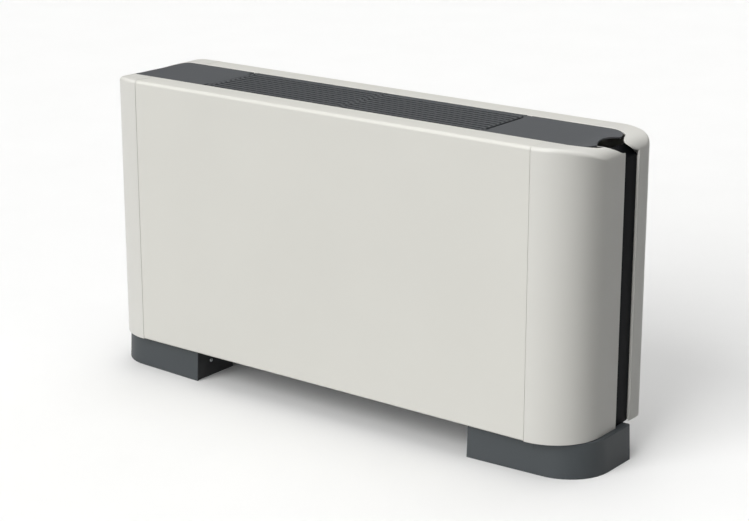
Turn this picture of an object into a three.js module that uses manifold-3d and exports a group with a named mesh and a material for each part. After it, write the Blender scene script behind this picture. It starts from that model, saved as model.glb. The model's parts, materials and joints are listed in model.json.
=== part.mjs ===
// Floor standing fan coil unit: a low, wide room cabinet on two plinth feet. Fans at the bottom draw room air up
// through a filter, push it through a tilted water coil and out of a long slatted grille in the top.
// Millimetres. X runs along the cabinet, Y towards the wall, Z up. The origin is on the floor under its centre.
import * as THREE from "three";
import { mergeVertices } from "three/addons/utils/BufferGeometryUtils.js";
import Module from "manifold-3d";

const wasm = await Module();
wasm.setup();

// ---- Driving dimensions: casing --------------------------------------------------------------------------
const CASING_WIDTH = 984;
const CASING_DEPTH = 226;
const CASING_HEIGHT = 471;
const FOOT_HEIGHT = 59;
const CORNER_RADIUS = 86; // front corners in plan, from the seam to the end face
const REAR_CORNER_RADIUS = 26;
const FRONT_RIM = 45.4; // white strip between the front edge and the dark top
const REAR_RIM = 42.3;
const EDGE_RADIUS = 6; // rounding between the walls and the top
const ROLL_LENGTH = 57; // the top rolls over at each end: a quarter ellipse, this long
const ROLL_DROP = 27; // and this deep
const PANEL_SHEET = 1.5; // painted steel panels
const WALL = 3; // side mouldings
const SEAM_GAP = 0.6; // between the front panel and the side mouldings
const LIP_DEPTH = 10; // turned-down edge around the dark top
const LEDGE = 6; // shelf at the foot of that lip, which carries grilles and flaps
const BOTTOM_LIP = 15;
const CHANNEL_WIDTH = 43; // upright channel in each end face
const CHANNEL_SETBACK = 49; // from the wall side to the channel
const CHANNEL_DEPTH = 12;
const INSERT_RECESS = 4.5; // the dark insert lies this far behind the end face
const CRESCENT_REACH = 68.5; // radius of the front rim's inner edge where the round corner ends
const CRESCENT_FALL = 0.3; // how fast that radius shrinks towards the front
const TONGUE = 9; // backing strip behind each seam, to each side of it
const TONGUE_FOOT = 8; // its lower end above the casing's bottom edge
const TONGUE_HEAD = 60; // and its upper end below the top
const INSERT_SLOPE = 25; // degrees, of the insert's leaning top
const RAIL_LIP = 44; // rear top rail's flange down the wall side

// ---- Driving dimensions: top -----------------------------------------------------------------------------
const DARK_DROP = 0.8; // dark pieces lie this far under the white rims
const DARK_DEPTH = 9; // their skirts
const GRILLE_SETBACK = 8; // each half ends this far inside the frame side plates
const GRILLE_BAR = 3.4;
const GRILLE_END = 4;
const SLOT_COUNT = 11;
const SLAT_WIDTH = 5.6;
const FLAP_PLATE = 2.5;
const FLAP_OPEN_GAP = 1; // around the flap's outer corner
const NOTCH_RADIUS = 61; // finger notch in the flap's outer end
const NOTCH_DEPTH = 10;
const NOTCH_SETBACK = 59.7; // its middle, from the rear rim
const FLAP_SETBACK = 25; // flap's outer end, from the casing's end
const PIN_RADIUS = 1.5;
const BARREL_RADIUS = 3.7;
const HINGE_DROP = 4.2; // pin axis below the dark surface
const HINGE_GAP = 5.3; // pin axis outside the grille's end
const LUG_LENGTH = 15;
const FLAP_RIB = 2.2; // stiffening ribs under the flap
const FLAP_RIB_SETBACK = 34; // of the inner pair from the flap's long edges

// ---- Driving dimensions: inside --------------------------------------------------------------------------
const FIT = 0.3; // clearance between seated pieces
const STEEL = 1.5; // galvanised frame sheet
const END_BAY = 202; // from the casing's end to the inner face of the frame side plate
const FRAME_DROP = 25; // frame side plates end this far below the top
const FLANGE = 16;
const DECK_RISE = 187; // fan deck above the casing's bottom edge
const DECK_EDGE = 12; // turned-up front and rear edges of the deck
const DECK_SETBACK = 8; // from the casing's front and wall side
const FAN_RISE = 99; // fan shaft above the same edge
const WHEEL_RADIUS = 58;
const WHEEL_LENGTH = 140;
const BLADE_COUNT = 22;
const BLADE_DEPTH = 11;
const BLADE_SHEET = 0.9;
const WHEEL_RIM = 3;
const HUB_LENGTH = 24;
const SCROLL_SETBACK = 18; // from the wall side to the scroll's widest radius
const SCROLL_MIN = 64; // and at its tongue
const SCROLL_SHEET = 2;
const SCROLL_WIDTH = 150;
const SCROLL_X = 68; // inner side of each scroll
const TONGUE_ANGLE = 60;
const OUTLET_INNER = 40;
const SHAFT_RADIUS = 4;
const MOTOR_RADIUS = 40;
const MOTOR_WAIST = 2;
const MOTOR_LENGTH = 84;
const BEARING_BOSS = 8;
const CRADLE_WIDTH = 24;
const CRADLE_SHEET = 2.5;
const CRADLE_FOOT = 14;
const COIL_THICKNESS = 44;
const COIL_HEIGHT = 200;
const COIL_SETBACK = 28; // room for return bends and headers beyond the fins
const COIL_TILT = 22;
const COIL_Y = 5;
const COIL_DROP = 143; // its middle below the top
const FIN_COUNT = 24;
const FIN_DEPTH = 4;
const TUBE_RADIUS = 4.8;
const TUBE_PITCH = 25; // between the two tubes of a row
const TUBE_ROWS = 6;
const HEADER_RADIUS = 9;
const HEADER_LENGTH = 60;
const HEADER_END = 5; // past the tube stub
const HEADER_BRANCH = 26; // from that stub to the branch
const UNION_LENGTH = 20;
const PLATE_EDGE = 4; // coil end plate beyond the fins, above and below
const UNION_REACH = 66;
const TRAY_WIDTH = 96;
const TRAY_DEPTH = 26;
const TRAY_WALL = 2;
const TRAY_FLARE = 8; // how far its long sides lean out
const DRAIN_RISE = 18; // its spout's middle above the deck
const SPOUT_RADIUS = 7;
const AUX_LENGTH = 96;
const AUX_DEPTH = 22;
const AUX_SPOUT = [16, 20]; // its spout's middle from the tray's outer front corner
const AUX_SPOUT_LENGTH = 18;
const FILTER_FRAME = 8;
const FILTER_DEPTH = 180;
const FILTER_BAR = 9;
const FILTER_RIB = 6;
const FILTER_SHEET = 1.2;
const FILTER_SHOW = 2.4; // filter frame below the casing's bottom edge
const RAIL_WIDTH = 5.5;
const BLADE_LEAN = 22; // degrees that a blade curves forward
const KEYHOLE_SETBACK = 162; // from the casing's end
const KEYHOLE_SLOT = 6;
const KEYHOLE_LENGTH = 16;
const KEYHOLE_LOW = 70; // the lower pair, above the casing's bottom edge
const KEYHOLE_HIGH = 60; // the upper pair, below the rear rail
const WINDOW_Y = -58; // pipe window in the frame side plates, from here
const WINDOW_WIDTH = 124;
const WINDOW_LOW = 70; // it opens this far below the coil's middle
const WINDOW_HIGH = 80; // and this far above
const TRAY_Y = -32;
const SPOUT_REACH = 22;
const STUB = 7;
const AUX_Y0 = -70;
const AUX_Y1 = 60;

// ---- Driving dimensions: feet and controls ---------------------------------------------------------------
const FOOT_FRONT = 13; // set back from the casing's front
const FOOT_TAPER = 6.5; // its front falls back by this much towards the corner
const FOOT_CORNER_LENGTH = 67; // its round corner, measured along the casing's end
const FOOT_CORNER_DEPTH = 95; // and from the casing's front
const FOOT_OVERHANG = 11.4; // it stands out beyond the casing's end
const FOOT_REAR_SETBACK = 60; // from the wall side
const FOOT_DRAFT = 3;
const FOOT_WALL = 3;
const FOOT_FLANGE = 14;
const FOOT_RIB_SPACING = 60;
const BRACKET_SHEET = 2;
const BRACKET_REAR = -2; // rear end of the bracket
const BRACKET_WIDTH = 138;
const TAB_REACH = 8; // tab under the front panel's lip
const BRACKET_SCREW_Y = -60;
const BRACKET_SCREW_Z = 28;
const BOX_LENGTH = 98;
const BOX_WIDTH = 110;
const BOX_HEIGHT = 62;
const BOX_DROP = 48; // its cover below the top
const BOX_WALL = 2;
const COVER_SHEET = 3;
const GLAND_RADIUS = 6;
const GLAND_BORE = 4;
const GLAND_SETBACK = [14, 16]; // its middle from the box's outer rear corner
const KNOB_RADIUS = 14;
const KNOB_HEIGHT = 15;
const KNOB_SPACING = 52;
const KNOB_FLUTES = 6;
const STEM_RADIUS = 3;
const CAPACITOR_RADIUS = 15;
const CAPACITOR_LENGTH = 62;
const CAPACITOR_RISE = 120; // above the casing's bottom edge

// ---- Derived places --------------------------------------------------------------------------------------
const HALF = CASING_WIDTH / 2;
const FRONT = -CASING_DEPTH / 2;
const REAR = CASING_DEPTH / 2;
const BOTTOM = FOOT_HEIGHT;
const TOP = FOOT_HEIGHT + CASING_HEIGHT;
const FRAME_TOP = TOP - FRAME_DROP;
const DECK_Z = BOTTOM + DECK_RISE;
const FAN_Z = BOTTOM + FAN_RISE;
const COIL_Z = TOP - COIL_DROP;
const BOX_TOP = TOP - BOX_DROP;
const SEAM_X = HALF - CORNER_RADIUS;
const CORNER_Y = FRONT + CORNER_RADIUS;
const RIM_FRONT = FRONT + FRONT_RIM;
const RIM_REAR = REAR - REAR_RIM;
const CHANNEL_REAR = REAR - CHANNEL_SETBACK;
const CHANNEL_FRONT = CHANNEL_REAR - CHANNEL_WIDTH;
const FRAME_X = HALF - END_BAY;
const GRILLE_LENGTH = FRAME_X - GRILLE_SETBACK;
const FLAP_REACH = HALF - FLAP_SETBACK;
const SCROLL_MAX = REAR - SCROLL_SETBACK;
const COIL_HALF = FRAME_X - COIL_SETBACK;
const KEYHOLE_X = HALF - KEYHOLE_SETBACK;
const NOTCH_Y = RIM_REAR - NOTCH_SETBACK;
const FOOT_INNER = FRAME_X;
const FOOT_CORNER_X = HALF - FOOT_CORNER_LENGTH;
const FOOT_CORNER_Y = FRONT + FOOT_CORNER_DEPTH;
const FOOT_REAR = REAR - FOOT_REAR_SETBACK;
const DARK_TOP = TOP - DARK_DROP;
const DARK_BOTTOM = DARK_TOP - DARK_DEPTH;
const LEDGE_Z = DARK_BOTTOM - FIT;
const HINGE_X = GRILLE_LENGTH + HINGE_GAP;
const HINGE_Z = DARK_TOP - HINGE_DROP;
const ROLL_START = HALF - ROLL_LENGTH;

const topAt = (x) => {
  const run = Math.max(0, Math.min(1, (Math.abs(x) - ROLL_START) / ROLL_LENGTH));
  return TOP - ROLL_DROP * (1 - Math.sqrt(1 - run * run));
};

// ---- Finishes --------------------------------------------------------------------------------------------
const finish = (color, roughness, metalness = 0) => ({ color, roughness, metalness });
const WHITE_PAINT = finish(0xdedcd5, 0.45);
const WHITE_PLASTIC = finish(0xdbdad4, 0.4);
const DARK_PLASTIC = finish(0x54585b, 0.5);
const BLACK_PLASTIC = finish(0x1d2022, 0.6);
const ZINC = finish(0xb4b8ba, 0.4, 0.8);
const DARK_STEEL = finish(0x3b3f42, 0.5, 0.3);
const ALUMINIUM = finish(0xc4c8ca, 0.4, 0.9);
const COPPER = finish(0xb5693f, 0.35, 0.9);
const BRASS = finish(0xb8954f, 0.35, 0.9);

// ---- Solids ----------------------------------------------------------------------------------------------
// A closed geometry as a solid that can be joined and cut.
function solid(geometry) {
  const bare = geometry.clone();
  bare.deleteAttribute("normal");
  bare.deleteAttribute("uv");
  const merged = mergeVertices(bare, 1e-4);
  return new wasm.Manifold(
    new wasm.Mesh({
      numProp: 3,
      vertProperties: merged.attributes.position.array,
      triVerts: new Uint32Array(merged.index.array),
    }),
  );
}

function geometryOf(body) {
  const { vertProperties, triVerts } = body.getMesh();
  const geometry = new THREE.BufferGeometry();
  geometry.setAttribute("position", new THREE.BufferAttribute(vertProperties, 3));
  geometry.setIndex(new THREE.BufferAttribute(triVerts, 1));
  return geometry;
}

// The same solid on the other side of the plane x = 0, with its faces turned back to point outwards.
function mirrored(body) {
  const geometry = geometryOf(body);
  geometry.scale(-1, 1, 1);
  const index = geometry.index.array;
  for (let i = 0; i < index.length; i += 3) [index[i + 1], index[i + 2]] = [index[i + 2], index[i + 1]];
  return solid(geometry);
}

const join = (...bodies) => bodies.reduce((whole, body) => whole.add(body));
const cut = (body, ...tools) => tools.reduce((left, tool) => left.subtract(tool), body);

const block = (x0, x1, y0, y1, z0, z1) => {
  const geometry = new THREE.BoxGeometry(x1 - x0, y1 - y0, z1 - z0);
  return solid(geometry.translate((x0 + x1) / 2, (y0 + y1) / 2, (z0 + z1) / 2));
};

// An outline drawn on one plane and pulled along the third axis. Its two numbers are in the order of `axes`.
const PLANES = {
  x: [new THREE.Vector3(0, 1, 0), new THREE.Vector3(0, 0, 1), new THREE.Vector3(1, 0, 0)], // outline in y, z
  y: [new THREE.Vector3(0, 0, 1), new THREE.Vector3(1, 0, 0), new THREE.Vector3(0, 1, 0)], // outline in z, x
  z: [new THREE.Vector3(1, 0, 0), new THREE.Vector3(0, 1, 0), new THREE.Vector3(0, 0, 1)], // outline in x, y
};
function pull(along, outline, from, to) {
  const shape = new THREE.Shape(outline.map(([u, v]) => new THREE.Vector2(u, v)));
  const geometry = new THREE.ExtrudeGeometry(shape, { depth: to - from, bevelEnabled: false });
  geometry.translate(0, 0, from);
  return solid(geometry.applyMatrix4(new THREE.Matrix4().makeBasis(...PLANES[along])));
}
const swap = (outline) => outline.map(([x, z]) => [z, x]); // an x, z outline for a pull along y

// A round bar, or with fewer sides a hexagon, along an axis.
function bar(along, radius, from, to, [u, v], sides = 24) {
  const step = (2 * Math.PI) / sides;
  const ring = Array.from({ length: sides }, (_, i) => [
    u + radius * Math.cos(step * (i + 0.5)),
    v + radius * Math.sin(step * (i + 0.5)),
  ]);
  return pull(along, ring, from, to);
}

// Closed loops with the same number of points each, skinned one to the next and capped at both ends.
function skin(loops) {
  const count = loops[0].length;
  const points = loops.flat();
  const faces = [];
  for (let i = 0; i + 1 < loops.length; i++)
    for (let j = 0; j < count; j++) {
      const [a, b] = [i * count + j, i * count + ((j + 1) % count)];
      faces.push(a, b, b + count, a, b + count, a + count);
    }
  for (const [first, turn] of [[0, true], [(loops.length - 1) * count, false]]) {
    const flat = flatten(points.slice(first, first + count));
    for (const [a, b, c] of THREE.ShapeUtils.triangulateShape(flat, []))
      faces.push(first + a, first + (turn ? c : b), first + (turn ? b : c));
  }
  const geometry = new THREE.BufferGeometry().setFromPoints(points);
  geometry.setIndex(faces);
  const body = solid(geometry);
  if (body.volume() > 0) return body;
  const index = geometry.index.array;
  for (let i = 0; i < index.length; i += 3) [index[i + 1], index[i + 2]] = [index[i + 2], index[i + 1]];
  return solid(geometry);
}

// A loop of points that lie in one plane, seen square on.
function flatten(loop) {
  const normal = new THREE.Vector3();
  loop.forEach((p, i) => normal.add(p.clone().cross(loop[(i + 1) % loop.length])));
  normal.normalize();
  const across = loop[1].clone().sub(loop[0]).normalize();
  const up = normal.clone().cross(across);
  return loop.map((p) => new THREE.Vector2(p.dot(across), p.dot(up)));
}

// The section of a bent sheet: the path of its outer face, with the sheet's thickness on its right-hand side.
function bentSheet(path, sheet) {
  const inner = path.map(([u, v], i) => {
    const [before, after] = [path[Math.max(0, i - 1)], path[Math.min(path.length - 1, i + 1)]];
    const side = ([a, b], [c, d]) => {
      const length = Math.hypot(c - a, d - b);
      return [(d - b) / length, -(c - a) / length];
    };
    const first = i ? side(before, [u, v]) : side([u, v], after);
    const second = i + 1 < path.length ? side([u, v], after) : first;
    const share = 1 + first[0] * second[0] + first[1] * second[1];
    return [u + (sheet * (first[0] + second[0])) / share, v + (sheet * (first[1] + second[1])) / share];
  });
  return [...path, ...inner.reverse()];
}

// Points on a round bend about a centre, by angles in degrees.
const bend = ([u, v], radius, from, to, steps) =>
  Array.from({ length: steps + 1 }, (_, i) => {
    const angle = THREE.MathUtils.degToRad(from + ((to - from) * i) / steps);
    return [u + radius * Math.cos(angle), v + radius * Math.sin(angle)];
  });

// ---- The unit's pieces -----------------------------------------------------------------------------------
const unit = new THREE.Group();
const rotor = new THREE.Group();
unit.add(rotor);

function piece(name, body, look, group = unit) {
  const mesh = new THREE.Mesh(geometryOf(body), new THREE.MeshStandardMaterial(look));
  mesh.name = name;
  group.add(mesh);
}

// Both hands of a piece that is drawn for the right end.
function pair(name, body, look) {
  piece("right_" + name, body, look);
  piece("left_" + name, mirrored(body), look);
}

// Front panel: one folded sheet with a bottom lip, a rounded top edge, the front rim and a lip with a ledge.
function frontPanel() {
  const section = bentSheet(
    [
      [FRONT + BOTTOM_LIP, BOTTOM],
      ...bend([FRONT + 2, BOTTOM + 2], 2, 270, 180, 1),
      ...bend([FRONT + EDGE_RADIUS, TOP - EDGE_RADIUS], EDGE_RADIUS, 180, 90, 4),
      [RIM_FRONT, TOP],
      [RIM_FRONT, LEDGE_Z],
      [RIM_FRONT + LEDGE, LEDGE_Z],
    ],
    PANEL_SHEET,
  );
  return pull("x", section, -SEAM_X + SEAM_GAP, SEAM_X - SEAM_GAP);
}

// Rear top rail: ledge and lip behind the grille, the rear rim and a flange down the wall side.
function rearTopRail() {
  const section = bentSheet(
    [
      [RIM_REAR - LEDGE, LEDGE_Z],
      [RIM_REAR, LEDGE_Z],
      [RIM_REAR, TOP],
      ...bend([REAR - EDGE_RADIUS, TOP - EDGE_RADIUS], EDGE_RADIUS, 90, 0, 4),
      [REAR, TOP - RAIL_LIP],
    ],
    PANEL_SHEET,
  );
  return pull("x", section, -SEAM_X + SEAM_GAP, SEAM_X - SEAM_GAP);
}

// The wall-and-rim section of a side moulding, from an outer point in plan towards an inner one. Its top follows
// the roll-over, and it turns down in a lip along the dark top.
function shellLoop([xo, yo], [xi, yi]) {
  const width = Math.hypot(xi - xo, yi - yo);
  const at = (run, drop) => {
    const [x, y] = [xo + ((xi - xo) * run) / width, yo + ((yi - yo) * run) / width];
    return new THREE.Vector3(x, y, topAt(x) - drop);
  };
  const lip = Math.max(width - 2, WALL * 0.8);
  const edge = Math.min(EDGE_RADIUS, width * 0.8);
  const foot = (run) => at(run, 0).setZ(BOTTOM);
  const rounding = bend([edge, edge], edge, 180, 270, 3).map(([run, drop]) => at(run, drop));
  return [
    foot(0),
    ...rounding,
    at((edge + width) / 2, 0),
    at(width, 0),
    at(width, LIP_DEPTH),
    at(lip, LIP_DEPTH),
    at(lip, WALL),
    at(Math.min(WALL + 1, lip), WALL + 1),
    at(Math.min(WALL, lip), EDGE_RADIUS + WALL),
    foot(WALL),
  ];
}

// Inner edge of the front rim round the corner, as a distance from the corner's centre.
const crescentReach = (degrees) => {
  const turned = Math.abs(degrees);
  const straight = (CORNER_Y - RIM_FRONT) / Math.max(Math.sin(THREE.MathUtils.degToRad(turned)), 1e-6);
  return Math.min(straight, CRESCENT_REACH - CRESCENT_FALL * turned);
};

// A sheet of this plan outline that follows the rolled-over top, its face `drop` under it.
function rolledSheet(outline, drop, depth) {
  const xs = [HINGE_X - 8];
  for (let i = 0; i <= 9; i++)
    xs.push(ROLL_START + ROLL_LENGTH * Math.sin(THREE.MathUtils.degToRad((80 * i) / 9)));
  const section = [
    ...xs.map((x) => [x, topAt(x) - drop]),
    ...xs.map((x) => [x, topAt(x) - drop - depth]).reverse(),
  ];
  const column = pull("z", outline, TOP - ROLL_DROP - 12, TOP + 1);
  return column.intersect(pull("y", swap(section), RIM_FRONT, REAR));
}

// Side moulding: round front shell and square rear shell, joined by a channel that holds the dark insert.
function sideMoulding() {
  const steps = 10;
  const front = [];
  for (let i = 0; i <= steps; i++) {
    const degrees = -90 + (90 * i) / steps;
    const [outer] = bend([SEAM_X, CORNER_Y], CORNER_RADIUS, degrees, degrees, 1);
    const [inner] = bend([SEAM_X, CORNER_Y], crescentReach(degrees), degrees, degrees, 1);
    front.push(shellLoop(outer, inner));
  }
  const reach = SEAM_X + CRESCENT_REACH;
  for (let i = 1; i <= 2; i++) {
    const share = i / 2;
    const y = CORNER_Y + (CHANNEL_FRONT - CORNER_Y) * share;
    front.push(shellLoop([HALF, y], [reach + (HALF - WALL - reach) * share, y]));
  }
  const corner = [HALF - REAR_CORNER_RADIUS, REAR - REAR_CORNER_RADIUS];
  const around = bend(corner, REAR_CORNER_RADIUS, 0, 90, 5);
  const rear = [
    shellLoop([HALF, CHANNEL_REAR], [HALF - WALL, CHANNEL_REAR]),
    shellLoop([HALF, CHANNEL_REAR + 8], [HALF - 18, RIM_REAR]),
    ...around.map((outer, i) => shellLoop(outer, [HALF - 24 - 4 * i, RIM_REAR])),
    shellLoop([SEAM_X, REAR], [SEAM_X, RIM_REAR]),
  ];
  // The rear rim's horn, which fills the corner between the flap and the channel.
  const horn = [
    [FLAP_REACH - 17, RIM_REAR + 1],
    [FLAP_REACH - 9, RIM_REAR - 2],
    [FLAP_REACH - 1.5, RIM_REAR - 9.7],
    [FLAP_REACH + 1.6, RIM_REAR - 20],
    [FLAP_REACH + 3, RIM_REAR - 27],
    [FLAP_REACH + 10, RIM_REAR - 25],
    [FLAP_REACH + 18, RIM_REAR - 18],
    [HALF - WALL - 0.5, CHANNEL_REAR],
    [HALF - WALL - 0.5, RIM_REAR + 4],
  ];
  const web = HALF - CHANNEL_DEPTH;
  const channel = [
    [HALF - 1, CHANNEL_FRONT],
    [web, CHANNEL_FRONT],
    [web, CHANNEL_REAR],
    [HALF - 1, CHANNEL_REAR],
    [HALF - 1, CHANNEL_REAR + WALL],
    [web - WALL, CHANNEL_REAR + WALL],
    [web - WALL, CHANNEL_FRONT - WALL],
    [HALF - 1, CHANNEL_FRONT - WALL],
  ];
  const tongueEnds = [BOTTOM + TONGUE_FOOT, TOP - TONGUE_HEAD];
  const tongue = (face, back) => block(SEAM_X - TONGUE, SEAM_X + TONGUE, face, back, ...tongueEnds);
  return join(
    skin(front),
    skin(rear),
    rolledSheet(horn, 0, FLAP_PLATE),
    pull("z", channel, BOTTOM, topAt(HALF) - EDGE_RADIUS - WALL),
    tongue(FRONT + PANEL_SHEET + FIT, FRONT + WALL + 1),
    tongue(REAR - WALL - 1, REAR - PANEL_SHEET - FIT),
  );
}

// Dark insert: a strip that stands in the channel, with a top that leans inwards under the access flap.
function channelInsert() {
  const face = HALF - INSERT_RECESS;
  const back = HALF - CHANNEL_DEPTH + FIT;
  const knee = topAt(HALF) - 4;
  const reach = FLAP_REACH + 2;
  const rise = (face - 3 - reach) * Math.tan(THREE.MathUtils.degToRad(INSERT_SLOPE));
  const section = [
    [back, BOTTOM + 1],
    [face, BOTTOM + 1],
    [face, knee - 3],
    [face - 3, knee],
    [reach, knee + rise],
    [reach, knee + rise - WALL],
    [back, knee - WALL],
  ];
  return pull("y", swap(section), CHANNEL_FRONT + FIT, CHANNEL_REAR - FIT);
}

// One half of the outlet grille: a frame with long blade-shaped slats and two cross ties under them.
function outletGrille() {
  const [y0, y1] = [RIM_FRONT + FIT, RIM_REAR - FIT];
  const [x0, x1] = [FIT, GRILLE_LENGTH];
  const open = y1 - y0 - 2 * GRILLE_BAR;
  const pitch = (open + SLAT_WIDTH) / SLOT_COUNT;
  const slat = [
    [-0.25, 0],
    [0.25, 0],
    [0.5, 0.85],
    [0.34, 1],
    [-0.34, 1],
    [-0.5, 0.85],
  ];
  let body = cut(
    block(x0, x1, y0, y1, DARK_BOTTOM, DARK_TOP),
    block(x0 + GRILLE_END, x1 - GRILLE_END, y0 + GRILLE_BAR, y1 - GRILLE_BAR, DARK_BOTTOM - 1, DARK_TOP + 1),
  );
  for (let i = 1; i < SLOT_COUNT; i++) {
    const y = y0 + GRILLE_BAR + i * pitch - SLAT_WIDTH / 2;
    const section = slat.map(([u, v]) => [y + u * SLAT_WIDTH, DARK_BOTTOM + v * DARK_DEPTH]);
    body = body.add(pull("x", section, x0 + 1, x1 - 1));
  }
  for (let i = 1; i <= 2; i++) {
    const x = x0 + ((x1 - x0) * i) / 3;
    body = body.add(block(x - 1, x + 1, y0 + 1, y1 - 1, DARK_BOTTOM, DARK_BOTTOM + 3));
  }
  for (const y of [y0, y1 - LUG_LENGTH]) {
    const lug = join(
      block(x1 - 1, HINGE_X, y, y + LUG_LENGTH, HINGE_Z - BARREL_RADIUS, HINGE_Z + BARREL_RADIUS),
      bar("y", BARREL_RADIUS, y, y + LUG_LENGTH, [HINGE_Z, HINGE_X], 16),
    );
    body = body.add(lug);
  }
  return cut(body, bar("y", PIN_RADIUS + FIT, y0 + 2, y1 - 2, [HINGE_Z, HINGE_X], 12));
}

// The pin that runs through the grille's two lugs and the flap's barrel.
const PIN_SETBACK = 2 * FIT + 2;
const hingePin = () =>
  bar("y", PIN_RADIUS, RIM_FRONT + PIN_SETBACK, RIM_REAR - PIN_SETBACK, [HINGE_Z, HINGE_X], 12);

// Access flap: a thin plate that follows the roll-over, with a barrel at the grille, a notch for a finger at its
// outer end, two skirts that rest on the ledges and two stiffening ribs.
function accessFlap() {
  const [y0, y1] = [RIM_FRONT + 2 * FIT, RIM_REAR - 2 * FIT];
  const inner = HINGE_X + BARREL_RADIUS + 0.8;
  const corner = Array.from({ length: 6 }, (_, i) => {
    const degrees = -46 + 5 * i;
    return bend([SEAM_X, CORNER_Y], crescentReach(degrees) - FLAP_OPEN_GAP, degrees, degrees, 1)[0];
  });
  const outline = [
    [inner, y0],
    ...corner,
    [FLAP_REACH, CORNER_Y + 3],
    [FLAP_REACH, y1 - 20],
    [FLAP_REACH - 3, y1 - 10],
    [FLAP_REACH - 11, y1 - 3],
    [FLAP_REACH - 19, y1],
    [inner, y1],
  ];
  const plate = rolledSheet(outline, DARK_DROP, FLAP_PLATE);
  const barrel = [y0 + LUG_LENGTH + 1, y1 - LUG_LENGTH - 1];
  const rib = (y, from, to, low) => block(from, to, y, y + FLAP_RIB, low, DARK_TOP - FLAP_PLATE / 2);
  const notch = bar(
    "z",
    NOTCH_RADIUS,
    DARK_BOTTOM - 20,
    TOP + 1,
    [FLAP_REACH - NOTCH_DEPTH + NOTCH_RADIUS, NOTCH_Y],
    96,
  );
  const body = join(
    plate,
    bar("y", BARREL_RADIUS, ...barrel, [HINGE_Z, HINGE_X], 16),
    block(HINGE_X, inner + 1, ...barrel, HINGE_Z + 1.2, DARK_TOP),
    rib(y0, inner, SEAM_X - 2, DARK_BOTTOM),
    rib(y1 - FLAP_RIB, inner, SEAM_X - 2, DARK_BOTTOM),
    rib(y0 + FLAP_RIB_SETBACK, inner, SEAM_X + 20, DARK_BOTTOM + 4),
    rib(y1 - FLAP_RIB_SETBACK - FLAP_RIB, inner, SEAM_X + 20, DARK_BOTTOM + 4),
  );
  return cut(body, notch, bar("y", PIN_RADIUS + FIT, y0, y1, [HINGE_Z, HINGE_X], 12));
}

// ---- Inside: frame and fans ------------------------------------------------------------------------------
// Back panel with four keyholes by which the unit can be hung on wall screws.
function backPanel() {
  const y = [REAR - PANEL_SHEET, REAR];
  const holes = [-1, 1].flatMap((side) =>
    [BOTTOM + KEYHOLE_LOW, TOP - RAIL_LIP - KEYHOLE_HIGH].flatMap((z) => {
      const x = side * KEYHOLE_X;
      const half = KEYHOLE_SLOT / 2;
      const slot = block(x - half, x + half, y[0] - 1, y[1] + 1, z, z + KEYHOLE_LENGTH);
      return [bar("y", KEYHOLE_SLOT, y[0] - 1, y[1] + 1, [z, x], 10), slot];
    }),
  );
  return cut(block(-SEAM_X + SEAM_GAP, SEAM_X - SEAM_GAP, ...y, BOTTOM, TOP - RAIL_LIP - SEAM_GAP), ...holes);
}

// Frame side plate: a folded channel that stands on the foot bracket and carries deck, coil, tray and filter.
function frameSide() {
  const [y0, y1] = [FRONT + PANEL_SHEET + FIT, REAR - PANEL_SHEET - FIT];
  const section = bentSheet(
    [
      [FRAME_X + FLANGE, y1],
      [FRAME_X, y1],
      [FRAME_X, y0],
      [FRAME_X + FLANGE, y0],
    ].reverse(),
    STEEL,
  );
  const window = block(
    FRAME_X - 1,
    FRAME_X + STEEL + 1,
    WINDOW_Y,
    WINDOW_Y + WINDOW_WIDTH,
    COIL_Z - WINDOW_LOW,
    COIL_Z + WINDOW_HIGH,
  );
  const spout = [TRAY_Y, DECK_Z + DRAIN_RISE];
  const drain = bar("x", SPOUT_RADIUS + FIT, FRAME_X - 1, FRAME_X + STEEL + 1, spout, 16);
  const lip = FRONT + BOTTOM_LIP;
  const foot = block(FRAME_X + 1, FRAME_X + 2 * FLANGE, lip + 2, y1 - 4, BOTTOM, BOTTOM + STEEL);
  const trim = block(FRAME_X - 1, FRAME_X + FLANGE + 1, y0 - 1, lip + FIT, BOTTOM - 1, BOTTOM + 4);
  return cut(join(pull("z", section, BOTTOM, FRAME_TOP), foot), window, drain, trim);
}

// Fan deck: the shelf between fans and coil, with one outlet over each scroll.
function fanDeck() {
  const x = FRAME_X - FIT;
  const outlet = (side) => {
    const middle = side * (SCROLL_X + SCROLL_WIDTH / 2);
    const half = SCROLL_WIDTH / 2 - SCROLL_SHEET;
    return block(middle - half, middle + half, OUTLET_INNER, SCROLL_MAX, DECK_Z - 9, DECK_Z + 9);
  };
  const section = bentSheet(
    [
      [REAR - DECK_SETBACK, DECK_Z + DECK_EDGE],
      [REAR - DECK_SETBACK, DECK_Z],
      [FRONT + DECK_SETBACK, DECK_Z],
      [FRONT + DECK_SETBACK, DECK_Z + DECK_EDGE],
    ],
    STEEL,
  );
  return cut(pull("x", section, -x, x), outlet(-1), outlet(1));
}

// Outline of a scroll housing square to the shaft: a spiral from its tongue round to the outlet, which opens
// upwards against the deck. `sheet` draws the same outline that far inside.
function scrollOutline(sheet) {
  const turns = 360 - TONGUE_ANGLE;
  const steps = 16;
  const spiral = Array.from({ length: steps + 1 }, (_, i) => {
    const angle = THREE.MathUtils.degToRad((turns * i) / steps);
    const radius = SCROLL_MAX + ((SCROLL_MIN - SCROLL_MAX) * i) / steps - sheet;
    return [radius * Math.cos(angle), FAN_Z - radius * Math.sin(angle)];
  });
  const top = DECK_Z - FIT + (sheet ? 1 : 0);
  return [[SCROLL_MAX - sheet, top], ...spiral, [OUTLET_INNER + sheet, top - 18], [OUTLET_INNER + sheet, top]];
}

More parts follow.
